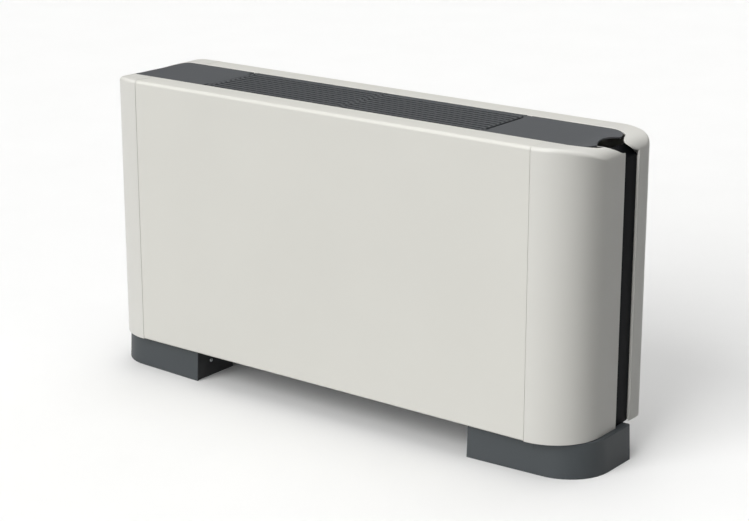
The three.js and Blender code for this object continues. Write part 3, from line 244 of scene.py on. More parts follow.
FIN_ALUMINIUM = metal("rolled_aluminium_fin", "C9CDD0", "B4B9BC", 1.5, "Z", 0.35)
COPPER = metal("drawn_copper_tube_dulled", "A9653F", "7E4A30", 2.0, "X", 0.38)
BRASS = metal("turned_brass", "C0A062", "A08048", 0.8, "X", 0.3)
BRIGHT_STEEL = metal("zinc_plated_steel_screw", "C8CBCD", "AEB3B6", 0.5, "X", 0.28)
DARK_STEEL = ripple("stove_enamelled_steel_dark", "2B2E30", "242729", 1.5, 0.02, 0.4, IOR=1.5)
print("metals:", FIN_ALUMINIUM.name, COPPER.name, BRASS.name, BRIGHT_STEEL.name)

# %% [markdown]
# ## Rounded edges on the solids
#
# The solids have knife edges and flat facets. On the real cabinet every edge is broken by paint, by a
# press brake's radius or by the mould, and it is that small round which catches the light. Each solid is
# copied, its loose triangles are merged, its sharp edges get a small bevel, and its curved walls are
# shaded smooth.

# %% Finish one solid
SHARP = math.radians(28)  # a steeper turn than this is a real edge and not a facet of a curve
FLAT = math.radians(0.3)  # triangles this close to one plane are merged
SAME_POINT = 2e-6  # in metres: corners this close are one


def plain_mesh(made):
    """Turns a piece's live modifiers into plain mesh, and takes them off."""
    bpy.context.view_layer.update()
    seen = made.evaluated_get(bpy.context.evaluated_depsgraph_get())
    mesh = bpy.data.meshes.new_from_object(seen)
    mesh.name = made.name
    made.modifiers.clear()
    made.data = mesh
    return made


def place(made, node, material, stands=True):
    """Gives a mesh its material and its solid's body. It stands for the solid or only adds to it."""
    made.data.materials.clear()
    made.data.materials.append(material)
    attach(made, NODES[node]["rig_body"])
    if stands:
        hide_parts(node)
    return made


def finished(node, material, edge_mm):
    """A copy of one solid with rounded edges and smooth curves, which stands for it."""
    mesh = NODES[node].data.copy()
    form = bmesh.new()
    form.from_mesh(mesh)
    bmesh.ops.remove_doubles(form, verts=form.verts, dist=SAME_POINT)
    bmesh.ops.dissolve_limit(form, angle_limit=FLAT, verts=form.verts, edges=form.edges)
    form.to_mesh(mesh)
    form.free()
    for face in mesh.polygons:
        face.use_smooth = True
    made = linked("finished_" + node, mesh)
    bevel = made.modifiers.new("rounded edges", "BEVEL")
    bevel.width, bevel.segments = edge_mm * MM, 2
    bevel.limit_method, bevel.angle_limit = "ANGLE", SHARP
    made.modifiers.new("even shading", "WEIGHTED_NORMAL").mode = "FACE_AREA"
    return place(plain_mesh(made), node, material)


# %% The outside of the cabinet
for node in ("front_panel", "rear_top_rail", "back_panel"):
    finished(node, POWDER_COAT, 0.5)
for side in ("right_", "left_"):
    finished(side + "access_flap", DARK_ABS, 0.4)
    finished(side + "foot_cover", FOOT_ABS, 0.5)
print("the outside is finished")

# %% The inside of the cabinet
INSIDE = {
    GALVANISED: ["right_frame_side", "left_frame_side", "fan_deck", "right_coil_plate", "left_coil_plate"]
    + ["drip_tray", "auxiliary_tray", "right_filter_guide", "left_filter_guide", "motor_cradle"],
    FAN_PLASTIC: ["right_fan_housing", "left_fan_housing", "cable_gland"],
    DARK_STEEL: ["fan_motor", "air_filter", "right_foot_bracket", "left_foot_bracket"],
    BRIGHT_STEEL: ["fan_shaft", "right_flap_pin", "left_flap_pin", "motor_capacitor"],
    COPPER: ["supply_header", "return_header"],
    BRASS: ["air_vent"],
    GREY_ABS: ["control_box", "control_cover"],
    KNOB_ABS: ["speed_knob", "thermostat_knob"],
}
for material, names in INSIDE.items():
    for node in names:
        finished(node, material, 0.3)
print(sum(len(names) for names in INSIDE.values()), "solids inside are finished")

# %% [markdown]
# ## The moulded ends
#
# Each end is one large moulding: a round front shell, a square rear shell and, between them, an upright
# channel. Its top rolls over like a quarter of an ellipse. A solid made of facets shows them there, so
# this piece is skinned anew from closed loops: each loop is a cut through the wall and the rim, from the
# outer face over the rounded edge to the lip round the dark top, and every point of the rim lies on the
# same rolled surface.

# %% The ends' sizes, in millimetres
LOW, HIGH = (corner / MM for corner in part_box("right_side_moulding"))
HALF, WALL_SIDE, FRONT = HIGH.x, HIGH.y, LOW.y
BOTTOM, TOP = LOW.z, HIGH.z
CORNER_RADIUS, REAR_RADIUS = 86.0, 26.0
SEAM = HALF - CORNER_RADIUS
CORNER_Y = FRONT + CORNER_RADIUS
RIM_FRONT, RIM_REAR = FRONT + 45.4, WALL_SIDE - 42.3
CHANNEL_REAR = WALL_SIDE - 49.0
CHANNEL_FRONT = CHANNEL_REAR - 43.0
CHANNEL_DEPTH = 12.0
ROLL_LENGTH, ROLL_DROP = 57.0, 27.0
EDGE, WALL, LIP = 6.0, 3.0, 10.0
FIT = 0.3  # clearance between pieces
print("end moulding:", round(HALF - SEAM), "mm wide,", round(TOP - BOTTOM), "mm high")


# %% The rolled top
def top_at(x):
    """Height of the rolled top over a place along the cabinet."""
    run = min(1.0, max(0.0, (abs(x) - (HALF - ROLL_LENGTH)) / ROLL_LENGTH))
    return TOP - ROLL_DROP * (1 - math.sqrt(1 - run * run))


def arc(centre, radius, start, end, steps):
    """Points round a bend in plan, by angles in degrees."""
    turns = [math.radians(start + (end - start) * i / steps) for i in range(steps + 1)]
    return [Vector((centre[0] + radius * math.cos(t), centre[1] + radius * math.sin(t))) for t in turns]


# %% One cut through wall and rim
ROUND_STEPS, ACROSS = 6, 10  # steps round the outer edge, and over the rim so that it follows the roll
LIP_ROUND, LIP_WALL = 0.7, 2.0  # round where the rim turns down into its lip, and the lip's thickness
FOOT_ROUND, FOOT_BAND, EDGE_BAND = 0.6, 3, 2.5  # round at the foot, and flat bands that hold the shading
TIP_LIP = 1.2  # at the rim's sharp tip the wall is wider than the rim, and the lip this short


def rim_loop(outer, inner, lip=LIP, edge=EDGE):
    """Closed loop of points from the wall's foot over the rim to its lip and back down inside the wall."""
    width = (inner - outer).length
    toward = (inner - outer) / width

    def at(run, drop):
        spot = outer + toward * run
        return Vector((spot.x, spot.y, top_at(spot.x) - drop))

    def foot(run, rise):
        spot = outer + toward * run
        return Vector((spot.x, spot.y, BOTTOM + rise))

    edge = min(edge, width * 0.7)
    back = min(LIP_ROUND, width * 0.1)
    inside = width - min(LIP_WALL, width * 0.3)
    turns = [math.radians(90 * i / ROUND_STEPS) for i in range(ROUND_STEPS + 1)]
    low = [(FOOT_ROUND, 0), (FOOT_ROUND / 4, FOOT_ROUND / 4), (0, FOOT_ROUND), (0, FOOT_BAND)]
    loop = [foot(run, rise) for run, rise in low] + [at(0, edge + EDGE_BAND)]
    loop += [at(edge * (1 - math.cos(t)), edge * (1 - math.sin(t))) for t in turns]
    loop += [at(edge + (width - back - edge) * i / ACROSS, 0) for i in range(1, ACROSS + 1)]
    loop += [at(width - back * 0.3, back * 0.3), at(width, back)]
    if inside > WALL:
        loop += [at(width, lip), at(inside, lip), at(inside, WALL)]
        loop += [at(min(WALL + 1, inside), WALL + 1), at(WALL, EDGE + WALL)]
    else:
        loop += [at(width, TIP_LIP)] + [at(WALL, lip + drop) for drop in range(4)]
    return loop + [foot(WALL, 0)]


# %% Skin closed loops
def skinned(name, groups):
    """One mesh from groups of loops. In a group, each loop is joined to the next, and both ends are capped."""
    form = bmesh.new()
    for loops in groups:
        rows = [[form.verts.new(p * MM) for p in loop] for loop in loops]
        count = len(rows[0])
        for first, second in zip(rows, rows[1:]):
            for i in range(count):
                k = (i + 1) % count
                form.faces.new((first[i], first[k], second[k], second[i]))
        form.faces.new(rows[0])
        form.faces.new(reversed(rows[-1]))
    bmesh.ops.recalc_face_normals(form, faces=form.faces)
    mesh = bpy.data.meshes.new(name)
    form.to_mesh(mesh)
    form.free()
    return linked(name, mesh)


def smooth(made, angle=SHARP):
    """Shades curves smooth and keeps real edges sharp."""
    for face in made.data.polygons:
        face.use_smooth = True
    made.data.set_sharp_from_angle(angle=angle)
    return made


def even_normals(made):
    """Lets large faces set the shading, so that a flat wall stays flat beside its rounded edge."""
    weighted = made.modifiers.new("even shading", "WEIGHTED_NORMAL")
    weighted.keep_sharp = True
    weighted.mode = "FACE_AREA"
    return plain_mesh(made)


# %% Places along a run of steps
def along(points, share):
    """A place on a run of straight steps, by its share of their length."""
    lengths = [(b - a).length for a, b in zip(points, points[1:])]
    left = share * sum(lengths)
    for (a, b), length in zip(zip(points, points[1:]), lengths):
        if left <= length:
            return a + (b - a) * (left / length)
        left -= length
    return points[-1]


def eased(points):
    """The same run with its corners rounded, by cutting each corner off twice."""
    for _ in range(2):
        cut = [points[0]]
        for a, b in zip(points, points[1:]):
            cut += [a.lerp(b, 0.25), a.lerp(b, 0.75)]
        points = cut + [points[-1]]
    return points


# %% Loops of the front shell
CORNER_STEPS, TIP_STEPS = 48, 16
CRESCENT, CRESCENT_TAPER = 68.5, 0.3  # the rim's inner radius at the end face, and its loss per degree
TIP = [(474.5, -27), (475.6, -19.5), (479.4, -10.5), (484.2, -2.8), (488.6, 5.5), (490.5, 11.5)]
TIP += [(491.1, 17.5), (491.1, CHANNEL_FRONT)]
TIP_EDGE, ROUND_FROM, ROUND_TO = 1.2, 50, 12  # the edge sharpens between these angles of the corner


def crescent_reach(degrees):
    """Inner edge of the front rim round the corner, as a distance from the corner's centre."""
    straight = (CORNER_Y - RIM_FRONT) / max(math.sin(math.radians(degrees)), 1e-6)
    return min(straight, CRESCENT - CRESCENT_TAPER * degrees)


def front_loops():
    """Loops from the seam round the corner to the channel. The rim narrows there to a sharp tip."""
    loops = []
    centre = Vector((SEAM, CORNER_Y))
    for i in range(CORNER_STEPS + 1):
        degrees = 90 - 90 * i / CORNER_STEPS
        ray = Vector((math.cos(math.radians(degrees)), -math.sin(math.radians(degrees))))
        share = min(1, max(0, (degrees - ROUND_TO) / (ROUND_FROM - ROUND_TO)))
        edge = TIP_EDGE + (EDGE - TIP_EDGE) * share * share * (3 - 2 * share)
        outer, inner = (centre + ray * reach for reach in (CORNER_RADIUS, crescent_reach(degrees)))
        loops.append(rim_loop(outer, inner, edge=edge))
    run = eased([Vector(spot) for spot in TIP])
    for i in range(1, TIP_STEPS + 1):
        inner = along(run, i / TIP_STEPS)
        loops.append(rim_loop(Vector((HALF, inner.y)), inner, edge=TIP_EDGE))
    return loops


print(CORNER_STEPS + TIP_STEPS + 1, "cuts round the front shell")


# %% Loops of the rear shell
REAR_STEPS, REAR_LIP = 44, 3.0
HORN = [(0.8, 0.3), (0.9, 5.5), (2.6, 15), (7, 21.5), (13, 24.4), (18.6, 19.5), (23, 6), (27, -0.5)]
HORN += [(34, -4.7), (42, -6.7), (60, -6.7)]  # from the end inwards, and from the channel forwards


def rear_loops():
    """Loops from the channel round the square corner to the seam. The rim's inner edge has a horn that
    fills the corner between flap and channel."""
    inner = eased([Vector((HALF - inwards, CHANNEL_REAR - ahead)) for inwards, ahead in HORN])
    inner.append(Vector((SEAM, RIM_REAR)))
    outer = [Vector((HALF, CHANNEL_REAR)), Vector((HALF, WALL_SIDE - REAR_RADIUS))]
    corner = (HALF - REAR_RADIUS, WALL_SIDE - REAR_RADIUS)
    outer += arc(corner, REAR_RADIUS, 0, 90, 14)[1:]
    outer.append(Vector((SEAM, WALL_SIDE)))
    shares = [i / REAR_STEPS for i in range(REAR_STEPS + 1)]
    return [rim_loop(along(outer, share), along(inner, share), REAR_LIP) for share in shares]


# %% Channel walls and the strips behind the seams
STRIP_HALF, STRIP_FACE, STRIP_BACK = 9, 1.8, 4  # half its width, and how deep behind the panel it lies


def upright(outline, low, high):
    """Two loops of one plan outline, for a plain upright wall."""
    return [[Vector((x, y, z)) for x, y in outline] for z in (low, high)]


def channel_loops():
    """The channel's three walls. They start above the insert's foot, so that no white shows under it."""
    web, ahead, behind = HALF - CHANNEL_DEPTH, CHANNEL_FRONT - WALL, CHANNEL_REAR + WALL
    outer, inner = HALF - 1, web - WALL
    outline = [(outer, CHANNEL_FRONT), (web, CHANNEL_FRONT), (web, CHANNEL_REAR), (outer, CHANNEL_REAR)]
    outline += [(outer, behind), (inner, behind), (inner, ahead), (outer, ahead)]
    return upright(outline, BOTTOM + 2, top_at(HALF) - EDGE - WALL)


def strip_loops(face, back):
    """A flat strip that bridges the seam behind the sheet."""
    near, far = SEAM - STRIP_HALF, SEAM + STRIP_HALF
    return upright([(near, face), (far, face), (far, back), (near, back)], BOTTOM + 8, TOP - 60)


# %% Make both ends
def mirror(made, name):
    """The same piece for the left end, with its faces turned back to point outwards."""
    mesh = made.data.copy()
    form = bmesh.new()
    form.from_mesh(mesh)
    bmesh.ops.scale(form, vec=(-1, 1, 1), verts=form.verts)
    bmesh.ops.reverse_faces(form, faces=form.faces)
    form.to_mesh(mesh)
    form.free()
    return linked(name, mesh)


end = skinned(
    "right_end",
    [
        front_loops(),
        rear_loops(),
        channel_loops(),
        strip_loops(FRONT + STRIP_FACE, FRONT + STRIP_BACK),
        strip_loops(WALL_SIDE - STRIP_BACK, WALL_SIDE - STRIP_FACE),
    ],
)
for made, node in ((end, "right_side_moulding"), (mirror(end, "left_end"), "left_side_moulding")):
    place(even_normals(smooth(made)), node, WHITE_ABS)
print("the ends have", len(end.data.polygons), "faces each")

# %% [markdown]
# The dark insert closes the channel. It stands a few millimetres behind the white faces, and at its top
# it leans inwards under the flap, so that a finger finds the flap's edge. Its section is drawn once and
# pulled across the channel, and a bevel rounds the long edges.

# %% The channel inserts
FACE, BACK_FACE, INSERT_FOOT = HALF - 4.5, HALF - CHANNEL_DEPTH + FIT, BOTTOM + 0.2
INSERT = [(BACK_FACE, INSERT_FOOT), (FACE, INSERT_FOOT), (FACE, 495.5), (FACE - 0.6, 498)]
INSERT += [(FACE - 2.2, 499.8), (466.6, 512), (465, 509.6), (FACE - 4.5, 496.6), (BACK_FACE, 493)]
sides = (CHANNEL_FRONT + FIT, CHANNEL_REAR - FIT)
insert = skinned("right_insert", [[[Vector((x, y, z)) for x, z in INSERT] for y in sides]])
rounded = insert.modifiers.new("rounded edges", "BEVEL")
rounded.width, rounded.segments, rounded.angle_limit = 0.5 * MM, 2, SHARP
plain_mesh(insert)
other_insert = mirror(insert, "left_insert")
for made, node in ((insert, "right_channel_insert"), (other_insert, "left_channel_insert")):
    place(smooth(made), node, BLACK_ABS)
print("the inserts rise to", round(max(v.co.z for v in insert.data.vertices) / MM), "mm")

# %% [markdown]
# ## What repeats: Geometry Nodes
#
# A grille has ten equal slats, the coil has hundreds of equal fins, and each fan wheel has a ring of
# equal blades. Geometry Nodes make one of them and set copies out by a rule, so each tree below is a
# recipe with named inputs for its sizes. Every recipe ends alike: its shapes are joined, copies are made
# real mesh, and the material is set. Afterwards the result is kept as a plain mesh and the modifier is
# taken off.

# %% Begin and end a recipe
INPUT_KIND = {int: "NodeSocketInt", float: "NodeSocketFloat", tuple: "NodeSocketVector"}
GROWN_SHARP, TUBE_SHARP = math.radians(35), math.radians(40)


def recipe(name, **inputs):
    """A new tree whose named inputs have these starting values: counts, lengths in metres, or places."""
    tree = bpy.data.node_groups.new(name, "GeometryNodeTree")
    tree.interface.new_socket(name="points", in_out="INPUT", socket_type="NodeSocketGeometry")
    for label, value in inputs.items():
        kind = INPUT_KIND[type(value)]
        made = tree.interface.new_socket(name=label, in_out="INPUT", socket_type=kind)
        made.default_value = value
    tree.interface.new_socket(name="material", in_out="INPUT", socket_type="NodeSocketMaterial")
    tree.interface.new_socket(name="mesh", in_out="OUTPUT", socket_type="NodeSocketGeometry")
    return tree, add(tree, "NodeGroupInput").outputs


def serve(tree, given, shapes, **move):
    """Ends a recipe with its shapes joined, moved as a whole, made real and given their material."""
    joined = add(tree, "GeometryNodeJoinGeometry")
    for shape in shapes:
        tree.links.new(shape, joined.inputs[0])
    moved = add(tree, "GeometryNodeTransform", {0: joined.outputs[0], **move})
    real = add(tree, "GeometryNodeRealizeInstances", {0: moved.outputs[0]})
    coated = add(tree, "GeometryNodeSetMaterial", {0: real.outputs[0], "Material": given["material"]})
    add(tree, "NodeGroupOutput", {0: coated.outputs[0]})


def grown(name, tree, node, material, stands=True, points=(), facing=(0, 0, 1), **values):
    """Runs a recipe once, keeps the result as a plain mesh in its final place, and hands it to its body."""
    mesh = bpy.data.meshes.new(name)
    mesh.from_pydata([Vector(p) * MM for p in points], [], [])
    if points:
        aims = mesh.attributes.new("facing", "FLOAT_VECTOR", "POINT")
        aims.data.foreach_set("vector", list(facing) * len(points))
    made = linked(name, mesh)
    nodes = made.modifiers.new("recipe", "NODES")
    nodes.node_group = tree
    values["material"] = material
    for item in tree.interface.items_tree:
        if item.in_out == "INPUT" and item.name in values:
            nodes[item.identifier] = values[item.name]
    plain_mesh(made)
    form = bmesh.new()
    form.from_mesh(made.data)
    bmesh.ops.recalc_face_normals(form, faces=form.faces)
    form.to_mesh(made.data)
    form.free()
    return place(smooth(made, GROWN_SHARP), node, material, stands)


def strip(tree, line, width, height, fillet, steps):
    """Sweeps a rounded bar, this wide and this high, along a curve and closes its ends."""
    section = add(tree, "GeometryNodeCurvePrimitiveQuadrilateral", {"Width": width, "Height": height})
    corners = {"Curve": section.outputs[0], "Radius": fillet, "Count": steps}
    rounded = add(tree, "GeometryNodeFilletCurve", corners, mode="POLY")
    return sweep(tree, line, rounded.outputs[0])


def sweep(tree, line, section):
    """Sweeps a section along a curve and closes its ends."""
    feeds = {"Curve": line, "Profile Curve": section, "Fill Caps": True}
    return add(tree, "GeometryNodeCurveToMesh", feeds).outputs[0]


def copies(tree, points, one, **turn):
    """Sets a copy of one shape on every point."""
    return add(tree, "GeometryNodeInstanceOnPoints", {"Points": points, "Instance": one, **turn}).outputs[0]


print("a recipe takes", " or ".join(kind.__name__ for kind in INPUT_KIND), "inputs")

# %% [markdown]
# ### The outlet grille
#
# Each half of the grille is one moulding: a frame round ten slats, tied by two ribs underneath. A slat
# has a flat cap with rounded edges on a thin web. The hollow below the cap stays in shade, which is why
# the real grille reads as bright lines on a dark ground even from low down. At its outer end two lugs
# hold the pin on which the flap turns.

# %% The grille's slats
GRILLE_LENGTH, GRILLE_SPAN, GRILLE_DEPTH = 281.7, 137.7, 9.0
RAIL, END_BAR = 3.4, 4.0
SLOTS = 11
SLAT_WIDTH, CAP = 5.6, 1.2  # a slat's width, and its cap's thickness
SLAT_PITCH = (GRILLE_SPAN - 2 * RAIL + SLAT_WIDTH) / SLOTS
FIRST_SLAT = RAIL - SLAT_WIDTH / 2 + SLAT_PITCH

grille_tree, given = recipe(
    "outlet_grille",
    length=GRILLE_LENGTH * MM,
    slats=SLOTS - 1,
    pitch=SLAT_PITCH * MM,
    slat_width=SLAT_WIDTH * MM,
    side=(1.0, 1.0, 1.0),
    corner=(0.0, 0.0, 0.0),
)
far_end = add(grille_tree, "ShaderNodeCombineXYZ", {"X": given["length"]}).outputs[0]
slat_ends = {"Start": (MM, 0, 0), "End": far_end}
slat_line = add(grille_tree, "GeometryNodeCurvePrimitiveLine", slat_ends).outputs[0]
cap = strip(grille_tree, slat_line, given["slat_width"], CAP * MM, 0.55 * MM, 3)
web_section = add(
    grille_tree,
    "GeometryNodeCurvePrimitiveQuadrilateral",
    {"Bottom Width": 1.4 * MM, "Top Width": 2.2 * MM, "Height": 7.4 * MM, "Offset": 0.0},
    mode="TRAPEZOID",
)
web = sweep(grille_tree, slat_line, web_section.outputs[0])
lowered = add(grille_tree, "GeometryNodeTransform", {0: web, "Translation": (0, 0, -4.0 * MM)})
slat = add(grille_tree, "GeometryNodeJoinGeometry", {0: cap})
grille_tree.links.new(lowered.outputs[0], slat.inputs[0])
step = add(grille_tree, "ShaderNodeCombineXYZ", {"Y": given["pitch"]}).outputs[0]
slat_places = add(
    grille_tree,
    "GeometryNodeMeshLine",
    {"Count": given["slats"], "Start Location": (0, FIRST_SLAT * MM, -CAP / 2 * MM), "Offset": step},
)
shapes = [copies(grille_tree, slat_places.outputs[0], slat.outputs[0])]
print(SLOTS - 1, "slats every", round(SLAT_PITCH, 1), "mm")

# %% [markdown]
# The frame, the ribs and the lugs are straight bars too, so each is a line from one point to another that
# carries a rounded section. A list gives their ends and sizes in millimetres, from the grille's inner
# corner.

# %% The grille's frame, ribs and lugs
HINGE_GAP, HINGE_LOW, BARREL = 5.3, 4.2, 3.7
LUG, LUG_ARM, LUG_ARM_PLACE = 15, 6.2, 2.1
RIB, RIB_DEPTH, RIB_LOW = 2, 2.6, 7.6
SQUARE, ROUND = (0.5, 2), (3.4, 5)  # a section's fillet in millimetres, and the steps round it
bars = []
for y in (RAIL / 2, GRILLE_SPAN - RAIL / 2):
    bars.append(((0, y), (GRILLE_LENGTH, y), GRILLE_DEPTH / 2, RAIL, GRILLE_DEPTH, SQUARE))
for x in (END_BAR / 2, GRILLE_LENGTH - END_BAR / 2):
    bars.append(((x, 0.2), (x, GRILLE_SPAN - 0.2), GRILLE_DEPTH / 2, END_BAR, GRILLE_DEPTH, SQUARE))
for x in (GRILLE_LENGTH * share for share in (1 / 3, 2 / 3)):
    bars.append(((x, 1), (x, GRILLE_SPAN - 1), RIB_LOW, RIB, RIB_DEPTH, SQUARE))
for y in (0, GRILLE_SPAN - LUG):
    for x, width, corners in ((LUG_ARM_PLACE, LUG_ARM, SQUARE), (HINGE_GAP, 2 * BARREL, ROUND)):
        x += GRILLE_LENGTH
        bars.append(((x, y), (x, y + LUG), HINGE_LOW, width, 2 * BARREL, corners))
for begin, end, low, width, height, (fillet, steps) in bars:
    ends = {"Start": Vector((*begin, -low)) * MM, "End": Vector((*end, -low)) * MM}
    line = add(grille_tree, "GeometryNodeCurvePrimitiveLine", ends).outputs[0]
    shapes.append(strip(grille_tree, line, width * MM, height * MM, fillet * MM, steps))
serve(grille_tree, given, shapes, Scale=given["side"], Translation=given["corner"])

for side, sign in (("right", 1.0), ("left", -1.0)):
    node = side + "_outlet_grille"
    low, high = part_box(node)
    grille = grown(
        side + "_slatted_grille",
        grille_tree,
        node,
        DARK_ABS,
        side=(sign, 1.0, 1.0),
        corner=(low[0] if sign > 0 else high[0], low[1], high[2]),
    )
    print(grille.name, len(grille.data.polygons), "faces")

# %% [markdown]
# ### The water coil
#
# A coil is a comb of thin aluminium fins, pressed over copper tubes and held by opening the tubes into
# them. The fins stand about two millimetres apart. One fin is a thin plate; a line of points sets out the
# rest, and the whole comb is tilted as the coil is. The hairpin tubes show as round bends at the right
# end.

# %% Fins in a comb
COIL_PLACE = (0.0, 5 * MM, 387 * MM)
COIL_TILT = math.radians(22)
COIL_HALF = 262 * MM
COIL_THICK, COIL_HIGH = 44 * MM, 200 * MM
FIN_PITCH = 2.2 * MM
FIN_SHEET = 0.3 * MM  # thicker than a real fin, so that it shows

fin_tree, given = recipe(
    "coil_fins", fins=int(2 * COIL_HALF / FIN_PITCH), pitch=FIN_PITCH, sheet=FIN_SHEET, first=-COIL_HALF
)
fin_size = {"X": given["sheet"], "Y": COIL_THICK, "Z": COIL_HIGH}
size = add(fin_tree, "ShaderNodeCombineXYZ", fin_size).outputs[0]
fin = add(fin_tree, "GeometryNodeMeshCube", {"Size": size}).outputs[0]
begin = add(fin_tree, "ShaderNodeCombineXYZ", {"X": given["first"]}).outputs[0]
step = add(fin_tree, "ShaderNodeCombineXYZ", {"X": given["pitch"]}).outputs[0]
fin_row = {"Count": given["fins"], "Start Location": begin, "Offset": step}
comb = copies(fin_tree, add(fin_tree, "GeometryNodeMeshLine", fin_row).outputs[0], fin)
serve(fin_tree, given, [comb], Rotation=(-COIL_TILT, 0, 0), Translation=COIL_PLACE)
fins = grown("coil_fins", fin_tree, "coil", FIN_ALUMINIUM)
print("fins:", len(fins.data.polygons) // 6)

# %% Hairpin tubes
TUBE_ROWS, TUBE_RADIUS, TUBE_PITCH = 6, 4.8, 25.0
ROW_PITCH = COIL_HIGH / MM / (TUBE_ROWS + 0.25)
REACH = COIL_HALF / MM
BEND_START, INNER_END, STUB = 3.5, 0.2, 7  # past the coil's ends


def tube(name, runs, radius, turn):
    """Round tubes along runs of points in millimetres, with closed ends, turned into place."""
    curve = bpy.data.curves.new(name, "CURVE")
    curve.dimensions = "3D"
    curve.bevel_depth = radius * MM
    curve.bevel_resolution = 4
    curve.use_fill_caps = True
    for run in runs:
        spline = curve.splines.new("POLY")
        spline.points.add(len(run) - 1)
        for point, spot in zip(spline.points, run):
            point.co = (*(Vector(spot) * MM), 1)
    drawn = linked(name, curve)
    bpy.context.view_layer.update()
    seen = drawn.evaluated_get(bpy.context.evaluated_depsgraph_get())
    mesh = bpy.data.meshes.new_from_object(seen)
    bpy.data.objects.remove(drawn)
    mesh.transform(turn)
    return smooth(linked(name, mesh), TUBE_SHARP)


hairpins = []
y, top_row = TUBE_PITCH / 2, (TUBE_ROWS - 1) / 2 * ROW_PITCH
for row in range(TUBE_ROWS):
    z = row * ROW_PITCH - top_row
    bend = [(REACH + BEND_START + p.x, p.y, z) for p in arc((0, 0), TUBE_PITCH / 2, -90, 90, 12)]
    hairpins.append([(-REACH - INNER_END, -y, z), *bend, (-REACH - INNER_END, y, z)])
stubs = [[(-REACH - STUB, side * y, side * top_row), (-REACH, side * y, side * top_row)] for side in (-1, 1)]
tilt = Matrix.Translation(COIL_PLACE) @ Matrix.Rotation(-COIL_TILT, 4, "X")
tubes = place(tube("coil_hairpin_tubes", hairpins + stubs, TUBE_RADIUS, tilt), "coil", COPPER)
print("tubes:", len(hairpins), "hairpins", [round(v, 3) for v in tubes.dimensions])

# %% [markdown]
# ### The fan wheels
#
# A fan of this kind has dozens of narrow blades that curve forward round a drum. The blade is a short
# arc, swept with a thin, long section; the recipe sets copies round a circle and adds two rims, a middle
# disc and a hub with its collar. It is built round an upright axis and then laid on the shaft.

# %% The wheel's recipe
WHEEL_RADIUS, WHEEL_LENGTH, BLADE_DEPTH = 57.4, 140.0, 11.0
BLADE_LEAN = math.radians(22)
RIM_WIDTH, RIM_HEIGHT = 11.2, 3
DISC, HUB, COLLAR = (WHEEL_RADIUS - BLADE_DEPTH + 1, 2), (12, 24), (14.5, 6)  # radius and thickness
SHAFT_HEIGHT = 158.0
WHEEL_MIDDLE = 143.0

wheel_tree, given = recipe(
    "fan_wheel", blades=40, blade_sheet=0.9 * MM, length=WHEEL_LENGTH * MM, middle=(0.0, 0.0, 0.0)
)


def blade_place(depth, turn):
    """A place on a blade, by its depth below the rim and its turn round the axis."""
    return ((WHEEL_RADIUS - depth) * math.cos(turn) * MM, (WHEEL_RADIUS - depth) * math.sin(turn) * MM, 0)


blade_arc = add(
    wheel_tree,
    "GeometryNodeCurveArc",
    {
        "Resolution": 6,
        "Start": blade_place(0.4, 0),
        "Middle": blade_place(BLADE_DEPTH / 2, BLADE_LEAN * 0.7),
        "End": blade_place(BLADE_DEPTH, BLADE_LEAN),
    },
    mode="POINTS",
)
blade_size = {"Width": given["blade_sheet"], "Height": given["length"]}
blade_section = add(wheel_tree, "GeometryNodeCurvePrimitiveQuadrilateral", blade_size)
blade = sweep(wheel_tree, blade_arc.outputs[0], blade_section.outputs[0])
crowd = add(wheel_tree, "GeometryNodePoints", {"Count": given["blades"], "Position": (0, 0, 0)})
number = add(wheel_tree, "GeometryNodeInputIndex").outputs[0]
share = {0: math.tau, 1: given["blades"]}
blade_turn = add(wheel_tree, "ShaderNodeMath", share, operation="DIVIDE").outputs[0]
turned = add(wheel_tree, "ShaderNodeMath", {0: number, 1: blade_turn}, operation="MULTIPLY").outputs[0]
about = add(wheel_tree, "ShaderNodeCombineXYZ", {"Z": turned}).outputs[0]
shapes = [copies(wheel_tree, crowd.outputs[0], blade, Rotation=about)]
rim_circle = {"Resolution": 64, "Radius": (WHEEL_RADIUS - BLADE_DEPTH / 2 - 0.1) * MM}
for end_of_wheel in (-1, 1):
    circle = add(wheel_tree, "GeometryNodeCurvePrimitiveCircle", rim_circle).outputs[0]
    rim = strip(wheel_tree, circle, RIM_WIDTH * MM, RIM_HEIGHT * MM, 0.6 * MM, 2)
    shift = (0, 0, end_of_wheel * (WHEEL_LENGTH - RIM_HEIGHT) / 2 * MM)
    shapes.append(add(wheel_tree, "GeometryNodeTransform", {0: rim, "Translation": shift}).outputs[0])
for radius, depth in (DISC, HUB, COLLAR):
    drum = {"Vertices": 48, "Radius": radius * MM, "Depth": depth * MM}
    shapes.append(add(wheel_tree, "GeometryNodeMeshCylinder", drum).outputs[0])
serve(wheel_tree, given, shapes, Rotation=(0, math.pi / 2, 0), Translation=given["middle"])

for side, x in (("right", WHEEL_MIDDLE), ("left", -WHEEL_MIDDLE)):
    middle = (x * MM, 0.0, SHAFT_HEIGHT * MM)
    wheel = grown(side + "_bladed_wheel", wheel_tree, side + "_fan_wheel", FAN_PLASTIC, middle=middle)
    print(wheel.name, [round(v / MM) for v in wheel.dimensions], "mm,", len(wheel.data.polygons), "faces")

# %% [markdown]
# ### The air filter
#
# The filter is a thin net held in a frame, and it drops out of its guides under the cabinet. Threads are
# laid both ways, two and a half millimetres apart, on both faces of the sheet inside the solid: real
# netting is finer, but this is as coarse as it must be to read as a net from a step away.

